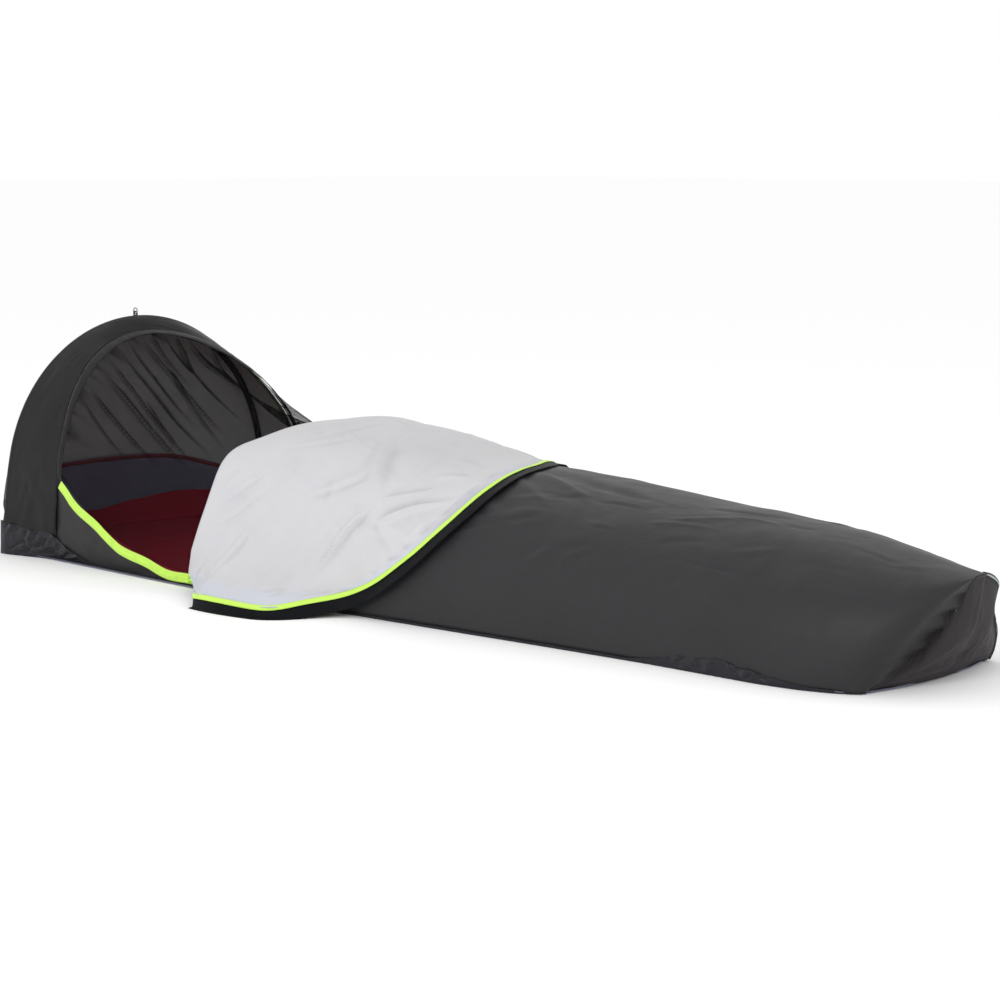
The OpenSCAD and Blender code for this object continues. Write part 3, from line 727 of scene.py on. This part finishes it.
# ---- Hood ----
# The sleeve: a cloth tube that the pole is pushed through, slightly puckered along its seam.
u_line = np.linspace(18 / HOOP_LEN, 1 - 18 / HOOP_LEN, 260)
y_line, z_line = hoop_point(u_line, SLEEVE_R)
axis = vec(HOOP_X, y_line, z_line)
s_line = u_line * HOOP_LEN
ripple = 6.35 + 0.22 * noise(s_line, 0 * s_line, 9, 61) + 0.15 * noise(s_line, 0 * s_line, 30, 62)
points, faces, uv = tube(axis, ripple, 14)
new_piece("sleeve_cloth", points, faces, [painted_shade_charcoal], "sack", ["pole_sleeve"], uv)

# The band: it comes over the sleeve from behind and runs forward to the screen's zip.
W = grid(26, 200)[1]
hy, hz = hoop_point(W[0])
iy, iz = hoop_point(W[0], 1.0)
outward = vec(0, hy - iy, hz - iz)
centre = vec(HOOP_X, *hoop_point(W[0], SLEEVE_R))
front = front_point(W[0])
rows = []
for ang in np.linspace(math.radians(150), math.radians(62), 6):
    rows.append(centre + 7.6 * (np.sin(ang) * outward + np.cos(ang) * np.array([1.0, 0, 0])))
start = rows[-1]
for t in np.linspace(0, 1, 21)[1:]:
    bow = 3.5 * math.sin(PI * t) * np.sin(PI * W[0])
    rows.append(mix(start, front, t) + outward * bow[:, None])
band = np.stack(rows)
along = W * HOOP_LEN
across = np.linspace(-20, 110, len(rows))[:, None] + 0 * along
free = smooth((np.arange(len(rows)) - 5) / 6)[:, None]
band_relief = 0.9 * fbm(along, across, 90, 63, 2)
band_relief = band_relief + creases(across, along, 65, 44, (0, 110, 60, HOOP_LEN - 60), 88, 16, 90, 5.5, 1.2)
band_relief += creases(across, along, 66, 14, (10, 90, 0, 160), 84, 10, 120, 7, 1.8)
band_relief += creases(across, along, 67, 14, (10, 90, HOOP_LEN - 160, HOOP_LEN), 96, 10, 120, 7, 1.8)
pull = np.exp(-(np.arange(len(rows))[::-1] / 3.0))[:, None] * 1.6 * noise(along, 0 * along, 26, 68)
band = band + normals_along(band, UP) * (free * band_relief + pull)[..., None]
band[..., 2] = np.maximum(band[..., 2], 1.5)
band_piece = cloth("hood_band", band, UP, painted_shade_charcoal, charcoal_inside, 0.8, "sack",
                   ["hoop_band"])
declare(band)

# The head wall: inside out it is the grey face seen through the netting.
S, T = grid(110, 46, -1, 1, 0, 1)
EDGE_Y = 316.0
yy = S * EDGE_Y
ty, tz = hoop_point(0.5 + 0.4 * S * 1.04, 2.0)
low = vec(head_x(yy), yy, seam_z(yy))
top = vec(HOOP_X - 8, ty, tz)
head_rest = mix(low, top, T[..., None]) - vec(18 * np.sin(PI * T) * (1 - S * S), 0, 0)
up_wall = T * 300
relief = 2.5 * fbm(yy, up_wall, 130, 81, 2)
relief += creases(yy, up_wall, 83, 34, (-280, 280, 20, 280), 118, 30, 150, 9, 2.4)
relief = relief * np.sin(PI * T) ** 0.5
head_grid = head_rest + normals_along(head_rest, (-1, 0, 0)) * relief[..., None]
head_piece = cloth("head_wall", head_grid, (-1, 0, 0), charcoal, charcoal_inside, 0.7, "sack",
                   ["head_panel"])
declare(head_rest)

# The floor's turned-up wall behind the head.
S, T = grid(110, 26, -1, 1, 0, 1)
yy = S * EDGE_Y
zz = mix(1.6, seam_z(yy) + 1.5, T)
tub_rest = vec(head_x(yy) + 0.6, yy * (1.035 - 0.035 * T), zz)
relief = 2.0 * fbm(yy, zz, 90, 91, 2) + creases(yy, zz, 93, 40, (-300, 300, 0, 140), 70, 60, 90, 7, 2.0)
relief += 3.0 * np.sin(PI * T)
tub_grid = tub_rest + vec(-relief * np.sin(PI * np.clip(T * 1.02, 0, 1)) ** 0.5, 0, 0)
tub_piece = cloth("bathtub_wall", tub_grid, (-1, 0, 0), floor_fabric, floor_inside, 0.8, "sack",
                  ["floor_head_wall"])
declare(tub_rest)

# The taped seam between them, on the inside.
S, T = grid(110, 3, -0.985, 0.985, 0, 1)
yy = S * EDGE_Y
wave_y = 1.2 * noise(yy, 0 * yy, 40, 95)
tape = vec(head_x(yy) + 3.2, yy, seam_z(yy) - 8 + 8 * T + wave_y)
cloth("head_seam_tape_cloth", tape, (1, 0, 0), seam_red, seam_red, 0.3, "sack",
      ["head_seam_tape"])

# The red lining of the floor, turned up at the head end.
S, T = grid(100, 110, -1, 1, 0, 1)
yy = S * 286
rear = head_x(yy) + 12
top_z = 52 + 12 * np.sin(S * 4.2 - 0.9) + 5 * noise(yy, 0 * yy, 55, 97)
run = T * 9
LINER_TO = 300
forward = (np.clip(run - 1, 0, 8) / 8) ** 1.6
lx = np.where(run < 1, rear - 3 + 10 * smooth(run), rear + 7 + (LINER_TO - rear - 7) * forward)
lz = np.where(run < 1, mix(top_z, 9.0, smooth(run) ** 0.8), 4.6 + 4.4 * np.exp(-(run - 1) * 6))
lining_rest = vec(lx, yy * mix(1, 0.8, smooth((lx + 700) / 1000)), lz)
wrinkles = creases(lx, yy, 99, 40, (-1030, -350, -260, 260), 35, 40, 200, 9, 2.6)
relief = np.clip(fbm(lx, yy, 110, 98, 2) ** 2 + np.abs(wrinkles), 0, 7) * np.where(run < 1, 0.6, 1)
lining = lining_rest + vec(np.where(run < 1, relief, 0), 0, np.where(run < 1, 0, relief))
lining_piece = cloth("floor_lining", lining, UP, red_lining, red_lining, 0.6, "sack",
                     ["floor_liner"])
declare(lining_rest)


# ---- Side walls under the zips ----
def wall_relief(x, z, side):
    """The side wall's small folds."""
    folds = creases(x, z, 103 + side, 34, (-780, -400, 0, 130), 150, 35, 90, 6, 2.0)
    return 1.6 * fbm(x, z, 70, 101 + side, 2) + folds


def zip_wave(a, side):
    """How far the slack zip wanders from its arc."""
    return (3 * np.sin(a * 25 + 0.6 + side) + 2.5) * smooth((a - ZIP_FROM) * 6) * smooth((ZIP_TO - a) * 8)


def side_wall(side, name):
    """The low wall beside the head, from the floor up to the fixed half of its zip."""
    P, T = grid(120, 22, -0.05, 1, 0, 1)
    a = mix(ZIP_TO, math.radians(-0.6), np.maximum(P, 0))
    tx, tz = zip_point(a, ZIP_R + 7 + zip_wave(a, side))
    tx = tx + np.minimum(P, 0) * 640
    z = mix(1.4, tz, T)
    pinch = 8 * (1 - smooth(z / 45))
    rest = vec(tx, side * (ZIP_Y - 1.2 - pinch + 50 * np.minimum(P, 0)), z)
    bumps = (np.clip(wall_relief(tx, z, side), -3, 3) - 1.2) * np.sin(PI * T)
    grid_points = rest + vec(0, side * bumps, 0)
    piece = cloth("side_wall_cloth_" + name, grid_points, (0, side, 0), charcoal, floor_inside, 0.7,
                  "sack", ["side_wall_" + name])
    declare(rest)


# ---- Floor fabric turned up along the sides ----
RIM_HEIGHT = [[-960, 66], [-924, 62], [-860, 52], [-800, 44], [-765, 24], [-735, 14], [-690, 4], [-370, 3],
              [560, 4], [610, 11], [650, 20], [720, 25], [790, 17], [850, 8], [890, 4], [960, 4]]


def side_rim(side, name):
    """The floor cloth turned up outside the band, the side wall and the body."""
    P, T = grid(520, 20)
    x = mix(-936, 950, P)
    top = look(RIM_HEIGHT, x, 8) * (1 + 0.12 * noise(x, 0 * x, 22, 111 + side))
    z = T * top + 0.9
    hoop_u = z / HOOP_LEN
    hy, hz = hoop_point(hoop_u)
    fr = front_point(hoop_u)
    t = np.clip((x - HOOP_X) / (fr[..., 0] - HOOP_X), 0, 1)
    band_y = mix(np.abs(hy), np.abs(fr[..., 1]), t) + 2.0
    wall_y = ZIP_Y + 1.2 - 8 * (1 - smooth(z / 45))
    body_a = np.arcsin(np.clip(((z - BASE_Z) / 250), 0, 1) ** (1 / ARCH))
    body_y = np.abs(section(np.clip(x, BODY_X, FOOT_X), body_a)[..., 1]) + 2.4
    y = mix(band_y, wall_y, smooth((x + 815) / 50))
    y = mix(y, body_y, smooth((x + 400) / 60))
    y = np.where(x > 900, np.minimum(y, np.interp(x, *np.array(PLAN, float).T) + 1.5), y)
    rest = vec(x, side * y, z)
    fan = creases(x, z * 2, 113 + side, 46, (-930, -740, 0, 110), 55, 40, 100, 7, 3.4)
    puckers = creases(x, z * 2, 117 + side, 34, (590, 860, 0, 46), 75, 40, 50, 6, 3.0)
    bumps = (fan + puckers + 0.6 * fbm(x, z, 30, 119, 2)) * smooth(T * 3) * smooth(top / 16)
    grid_points = rest + vec(0, side * np.clip(bumps, -1.6, 6), 0)
    piece = cloth("floor_rim_cloth_" + name, grid_points, (0, side, 0), floor_fabric, floor_inside, 0.7,
                  "sack", ["floor_rim_" + name])
    declare(rest)


# ---- Zips ----
COIL_PITCH = 2.2
COIL_STEP = COIL_PITCH / 4


def arc_tape(name, side, r0, r1, body, node):
    """One half of a zip's tape, between radii r0 and r1 of its arc."""
    P, T = grid(150, 4)
    a = mix(ZIP_FROM, ZIP_TO, P)
    r = mix(r0, r1, T) + zip_wave(a, side)
    x, z = zip_point(a, r)
    puff = 0.5 * noise(a * ZIP_R, 0 * a, 18, 131 + side) * np.abs(T - 0.5) * 2
    ribbon = vec(x, side * (ZIP_Y + 0.7 + puff), z)
    cloth(name, ribbon, (0, side, 0), lime, lime, 0.9, body, [node])


def arc_coil(name, side, off, body, node):
    """One half of a zip's coil, off mm outside its arc."""
    count = int(ZIP_R * (ZIP_TO - ZIP_FROM) / COIL_STEP)
    a = np.linspace(ZIP_FROM, ZIP_TO, count)
    x, z = zip_point(a, ZIP_R + off + zip_wave(a, side))
    radius = 1.25 + 0.35 * np.sin(a * ZIP_R * 2 * PI / COIL_PITCH)
    path = vec(x, side * (ZIP_Y + 0.4), z)
    points, faces, uv = tube(path, radius, 7)
    new_piece(name, points, faces, [lime_coil], body, [node], uv)


for side, name in ((NEAR, "near"), (FAR, "far")):
    side_wall(side, name)
    side_rim(side, name)
    arc_tape("wall_zip_ribbon_" + name, side, ZIP_R + 2.0, ZIP_R + 9.2, "sack", "wall_zip_tape_" + name)
    arc_coil("wall_zip_teeth_" + name, side, 1.3, "sack", "wall_zip_coil_" + name)
    arc_tape("screen_zip_ribbon_" + name, side, ZIP_R - 8.6, ZIP_R - 2.0, "screen_door",
             "screen_zip_tape_" + name)
    arc_coil("screen_zip_teeth_" + name, side, -1.3, "screen_door", "screen_zip_coil_" + name)

# The fixed half of the zip, just under the band's front edge.
SCREEN_U = 0.132
P, T = grid(220, 3)
u = mix(SCREEN_U, 1 - SCREEN_U, P)
edge = front_point(u)
yb, zb = hoop_point(u)
backwards = unit(vec(HOOP_X, yb, zb) - edge)
inwards = unit(vec(0, -edge[..., 1], -(edge[..., 2] - 60)))
hoop_tape = edge + backwards * (13 - 10 * T)[..., None] + inwards * 2.6
cloth("hoop_zip_ribbon", hoop_tape, UP, painted_shade_lime, painted_shade_lime, 0.9, "sack", ["hoop_zip_tape"])

# ---- Insect screen ----
SCREEN_HALF_W = ZIP_Y - 1.25
SCREEN_A = math.radians(3.5)
SCREEN_TOP = 264.0


def screen_point(v, u):
    """A point of the netting: v runs along the hoop, u from the chest to the hoop."""
    a = mix(SCREEN_A, PI - SCREEN_A, v)
    fold = vec(SCREEN_X, -SCREEN_HALF_W * sgn_pow(np.cos(a), ARCH),
               SCREEN_TOP * np.sin(a) ** ARCH)
    e = front_point(mix(SCREEN_U, 1 - SCREEN_U, v))
    k = np.maximum(0, 1 - 7 * np.minimum(v, 1 - v)) ** 2
    hoop_y = mix(e[..., 1], SCREEN_HALF_W * np.sign(e[..., 1]), k)
    hoop_side = vec(e[..., 0] + 5, hoop_y, e[..., 2] + 1)
    far = smooth(v * 4 - 1.5)
    slack = mix(34, 58, far) * np.sin(PI * u ** mix(0.8, 0.62, far)) ** 0.8
    slack = slack * np.exp(-((np.minimum(v, 1 - v) - 0.34) / 0.16) ** 2)
    p = mix(fold, hoop_side, u[..., None])
    p = p - slack[..., None] * vec(0, np.tanh(e[..., 1] / 90), 1)
    low_z = ZIP_Z - np.sqrt((ZIP_R - 8) ** 2 - (p[..., 0] - ZIP_X) ** 2)
    y = mix(p[..., 1], SCREEN_HALF_W * np.sign(p[..., 1]), k)
    return vec(p[..., 0], y, mix(p[..., 2], low_z, k))


NET_LENGTH, NET_WIDTH = 420, 980
Uu, Vv = grid(210, 340)
net_rest = screen_point(Vv, Uu)
su, sv = Uu * NET_LENGTH, Vv * NET_WIDTH
# The netting's main folds: from and to, in mm along it and round the hoop, then width and depth.
FOLDS = [((410, 300), (60, 190), 6, 9), ((412, 380), (60, 255), 7, -9), ((415, 455), (80, 330), 5, 8),
         ((412, 520), (90, 400), 7, -10), ((415, 590), (120, 470), 5, 8), ((408, 240), (140, 160), 5, 7),
         ((412, 340), (150, 235), 4, 6), ((414, 420), (160, 310), 6, -8), ((414, 560), (200, 420), 4, 6),
         ((410, 650), (200, 560), 4, 6), ((405, 205), (220, 130), 4, 5), ((413, 490), (230, 400), 4, 6),
         ((300, 300), (90, 215), 4, 6), ((330, 430), (60, 290), 4, 6)]
folded = np.zeros_like(su)
net_relief = 5.0 * fbm(su, sv, 170, 141, 2)
for p0, p1, width, depth in FOLDS:
    net_relief += crease(su, sv, p0, p1, width, depth, 10)
    folded += np.clip(np.abs(crease(su, sv, p0, p1, width * 0.5, 1.0, 10)), 0, 1)
net_relief += creases(su, sv, 143, 46, (120, 420, 60, 920), 170, 24, 150, 4.5, 2.6)
puckers = np.clip(noise(sv, 0 * sv, 15, 145), 0, 1) * np.exp(-(1 - Uu) * 16)
net_relief -= 6 * puckers
folded += puckers * 1.2
hold = smooth(np.minimum(Vv, 1 - Vv) * 14) * smooth((1 - Uu) * 24) * smooth(Uu * 20)
net_grid = net_rest + normals_along(net_rest, UP) * (net_relief * hold)[..., None]
net_piece = cloth("insect_netting", net_grid, UP, netting, netting, 0.25, "screen_door",
                  ["insect_screen"], {"fold": np.clip(folded, 0, 1)})
declare(net_rest)

P, T = grid(220, 3, 0, 1, 0.983, 0.999)
tape_points = screen_point(P, T)
cloth("screen_hoop_ribbon", tape_points - normals_along(tape_points, UP) * 1.6, UP, painted_shade_lime, painted_shade_lime, 0.7,
      "screen_door", ["screen_hoop_tape"])

# The netting's bound edge along the hoop.
BIND_FROM = 0.968
P, T = grid(260, 5, 0.012, 0.988, BIND_FROM, 1.0)
bind = screen_point(P, T)
gathers = 0.7 * noise(P * NET_WIDTH, 0 * P, 16, 147) + 0.5 * noise(P * NET_WIDTH, 0 * P, 7, 148)
rise = 1.6 + gathers + 1.2 * np.sin(PI * (T - BIND_FROM) / (1 - BIND_FROM))
bind = bind + normals_along(bind, UP) * rise[..., None]
cloth("screen_binding", bind, UP, painted_shade_charcoal, painted_shade_charcoal, 0.5, "screen_door")

# ---- Outer door, thrown back over the body ----
DEG = PI / 180
DOOR_LEFT = [[2.1, -235], [3.0, -295], [4.3, -342], [7, -362], [11, -370], [90, -370]]
DOOR_EDGE = [[2.1, -77], [3.5, -45], [5, -6], [11, 54], [22, 112], [34, 150], [48, 176], [65, 182],
             [78, 174], [90, 154], [100, 118], [120, 60], [150, 0], [170, -30], [177.9, -77]]
DOOR_FLARE = [[-370, 30], [-340, 62], [-300, 95], [-242, 154], [-174, 160], [-114, 154], [-77, 142],
              [-45, 80], [-15, 18], [10, 0]]
DOOR_LOW = 2.1
DOOR_OFF = 9.0
ROLL_ROWS = 5
LOWEST = 1.2
GIRTH = 5.6  # mm round the section for each degree


def door_base(x, deg, off):
    """A point of the door, off mm above the body, which flares out over the ground beside the chest."""
    p = section(x, deg * DEG, off)
    k = np.clip(1 - p[..., 2] / 150, 0, 1) ** 2
    return p + vec(0, np.sign(p[..., 1]) * look(DOOR_FLARE, x, 10) * k, 0)


def door_angles(count):
    """Angles round the section, closer together near the ground."""
    t = np.linspace(-1, 1, count)
    return 90 + (90 - DOOR_LOW) * (0.8 * t + 0.2 * np.sign(t) * (1 - (1 - np.abs(t)) ** 2))


# The door's main folds: from and to, as (station, angle), then width, depth and bow.
DOOR_FOLDS = [
    ((-260, 46), (-365, 26), 7, 4.5, 8), ((-320, 48), (-366, 28), 6, -3.5, 5),
    ((-235, 40), (-350, 18), 8, 3.5, 8), ((-110, 79), (0, 44), 13, 9.0, -6),
    ((5, 43), (105, 57), 10, 6.0, -8), ((20, 31), (160, 51), 11, 7.5, 12),
    ((0, 40), (-62, 6), 7, 6.5, -10), ((-245, 21), (-262, 5), 7, 4.5, 4),
    ((-50, 55), (-175, 35), 10, 5.0, 10), ((-200, 90), (-262, 64), 9, 4.0, 4),
    ((-160, 78), (-285, 56), 9, 3.5, 6), ((20, 80), (145, 72), 10, 4.5, 6),
    ((120, 39), (92, 27), 8, 5.5, 2), ((-60, 57), (-115, 44), 9, 4.0, 5),
    ((60, 60), (150, 66), 12, 5.0, 8), ((-60, 100), (60, 122), 12, 6.0, 8),
    ((-250, 112), (-120, 150), 12, 5.0, 10), ((-320, 125), (-60, 165), 10, 5.0, 8),
    ((-300, 150), (-280, 174), 8, 4.0, 4), ((-20, 130), (-90, 172), 9, 5.0, 8),
]


def door_relief(x, deg):
    """The door's folds and creases at a station and an angle."""
    s = (deg - 90) * GIRTH
    d = 4.5 * fbm(x, s, 180, 151, 2) + 1.2 * fbm(x, s, 55, 153, 2)
    for (x0, a0), (x1, a1), width, depth, bow in DOOR_FOLDS:
        start, end = (x0, (a0 - 90) * GIRTH), (x1, (a1 - 90) * GIRTH)
        d += crease(x, s, start, end, width * 0.75, depth * 0.95, bow)
    d += creases(x, s, 155, 40, (-350, 130, -440, 300), -52, 34, 190, 7, 2.2)
    d += creases(x, s, 157, 56, (-365, 150, -480, 480), 60, 70, 90, 6, 1.2)
    return d


angles = door_angles(210)
P, A = np.meshgrid(np.linspace(0, 1, 120), angles, indexing="ij")
mirrored = np.where(A > 90, 180 - A, A)
left = look(DOOR_LEFT, mirrored, 0.6)
right = look(DOOR_EDGE, A, 1.2)
X = mix(left, right, P)
door_rest = door_base(X, A, DOOR_OFF)
calm = mix(0.3, 1, smooth(P * 8)) * mix(0.15, 1, smooth((1 - P) * 9))
# Little gathers just inside the stitched edge, where the cloth is eased into the zip.
arc = lengths_along(door_rest[-1])[None] + 0 * X
inner = np.exp(-(((right - X) - 22) / 9.0) ** 2) * smooth((A - 6) / 10)
low_inner = np.exp(-((mirrored - DOOR_LOW - 3.4) / 1.3) ** 2) * (1 - smooth((A - 6) / 10))
eased = (2.4 * noise(arc, X * 0.5, 17, 159) + 1.6 * noise(arc, X, 8, 160)) * inner
eased += (2.0 * noise(X, arc * 0.5, 19, 161) + 1.4 * noise(X, arc, 9, 162)) * low_inner
relief = np.clip(door_relief(X, A) * calm, -7, 11)
relief = np.where(relief > 0, relief, relief * 0.6) + eased
ridge_line = np.exp(-((A - 97) / 24) ** 2)
settled = ridge_line * smooth((X + 120) / 120)
relief = mix(relief, 0.3 * relief - 5, settled) + 5 * ridge_line * np.exp(-((X + 290) / 60) ** 2)
pouch = 19 * np.exp(-((angles - 49) / 13) ** 2)
relief += pouch * (1 - smooth(P * 3.2))
door_top = door_rest + normals_along(door_rest, UP) * relief[..., None]
# Painted shade for the door's colour: darker in the crease valleys below the blurred relief and over the top
# and far side past about 58 degrees, with a little random tone. It goes to the fold attribute.
shifts = (-6, -3, 0, 3, 6)
level = sum(np.roll(np.roll(relief, i, 0), j, 1) for i in shifts for j in shifts) / len(shifts) ** 2
shadow = np.clip((level - relief) / 4.5, 0, 1) * smooth(P * 6) + 0.32 * smooth((A - 58) / 24)
shadow = np.clip(shadow + 0.12 * fbm(X, A * GIRTH, 120, 165, 2), 0, 1)
band_in = np.where(A > 6, 1 - smooth(((right - X) - 12) / 18), 0)
low_in = 1 - smooth((mirrored - DOOR_LOW - 1.5) / 3.5)
blue = np.clip(np.maximum(band_in, low_in) + 0.25 * fbm(X, A * GIRTH, 40, 166, 2), 0, 1)
blue = blue * (1 - 0.6 * np.clip(eased, 0, 1))
door_top[..., 2] = np.maximum(door_top[..., 2], 3)
# The rolled fold at the chest: from the hem, round and up into the door.
roll = np.stack([door_base(left[0] - 6 * math.sin(PI * up) + 3, angles, mix(1.4, DOOR_OFF + pouch, up))
                 for up in np.arange(ROLL_ROWS) / ROLL_ROWS])
roll[..., 2] = np.maximum(roll[..., 2], 2.5)
door_grid = np.concatenate([roll, door_top])
# The painted shade (fold) and the bluish edge band (edge), carried down the rolled rows at the chest.
marks = {key: np.pad(value, ((ROLL_ROWS, 0), (0, 0)), mode="edge")
         for key, value in (("fold", shadow), ("edge", blue))}
door_piece = cloth("outer_door_cloth", door_grid, UP, pale_lining, charcoal, 0.9, None,
                   ["outer_door"], marks)
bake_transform(door_piece)
declare(door_rest)


def smoothed(columns, reach, mode, **how):
    """Each column of a line of points, averaged over reach points to either side."""
    kernel = np.ones(2 * reach + 1) / (2 * reach + 1)
    return np.stack([np.convolve(np.pad(c, reach, mode=mode, **how), kernel, "valid") for c in columns], -1)


def edge_strip(offsets, seed, gap):
    """Rows past the door's cut edge: along the bottom, up and over, and down the far side."""
    path = np.concatenate([door_top[:-1:2, 0], door_top[-1], door_top[::-2, -1]])
    length = lengths_along(path)
    s = np.linspace(0, length[-1], 420)
    line = smoothed([np.interp(s, length, c) for c in path.T], 8, "reflect", reflect_type="odd")
    # the cloth's own plane: up over the body, and down to the ground past the bottom edges
    radial = unit(vec(0 * s, line[:, 1] / 300, (line[:, 2] + 40) / 250))
    outward = unit(smoothed(unit(np.cross(unit(np.gradient(line, axis=0)), radial)).T, 9, "edge"))
    rows = []
    for off in offsets:
        lift = gap + 1.1 * noise(s, 0 * s + off * 3, 34, seed) * min(off / 12, 1)
        p = line + outward * off + radial * lift[:, None]
        over = np.maximum(LOWEST - p[:, 2], 0)
        p[:, 2] = np.maximum(p[:, 2], LOWEST)
        p[:, 1] += np.sign(p[:, 1]) * over * 0.9
        rows.append(p)
    return np.stack(rows)


cloth("door_edge_ribbon", edge_strip([-2.4, 0.8, 3.6, 6.4], 161, 1.4), UP, lime, lime, 0.9, "top_door",
      ["door_zip_tape"])
flap_rows = edge_strip([5.5, 10.0, 15.0, 20.0, 25.0, 29.0], 163, -0.4)
flap_piece = cloth("door_rain_flap", flap_rows, UP, flap_painted_shade, flap_painted_shade, 0.9, "top_door",
                   ["rain_flap"])
declare(flap_rows)

# ---- Finishes of the hard parts, which stay as the CAD has them ----
SIDES, ALONE = ("near", "far"), ("",)
FINISH = [
    (aluminium, "pole_segment_", (1, 2, 3, 4)), (steel, "pole_ferrule_", (1, 2, 3)),
    (plastic, "pole_tip_", SIDES), (black_webbing, "pole_pocket_", SIDES),
    (black_webbing, "stake_loop_", SIDES), (lime_metal, "zip_slider_", SIDES),
    (lime_metal, "pull_tab_", SIDES), (elastic, "shock_cord", ALONE), (black_webbing, "apex_tab", ALONE),
    (grey_cord, "apex_loop", ALONE),
]
for material, stem, endings in FINISH:
    for ending in endings:
        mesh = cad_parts[f"{stem}{ending}"].data
        if not mesh.materials:
            mesh.materials.append(material)
        for i in range(len(mesh.materials)):
            mesh.materials[i] = material

# ---- Ground ----
ground_mat = Nodes("studio_floor", 1.0, Specular_IOR_Level=0.0)
ground_mat.shader.inputs["Base Color"].default_value = (0.98, 0.98, 0.98, 1)
ground_mesh = bpy.data.meshes.new("studio_floor")
SPAN = 40.0
ground_corners = [(-SPAN, -SPAN, 0), (SPAN, -SPAN, 0), (SPAN, SPAN, 0), (-SPAN, SPAN, 0)]
ground_mesh.from_pydata(ground_corners, [], [(0, 1, 2, 3)])
ground_mesh.materials.append(ground_mat.mat)
ground = bpy.data.objects.new("studio_floor", ground_mesh)
bpy.context.scene.collection.objects.link(ground)
ground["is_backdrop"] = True

low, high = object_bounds()
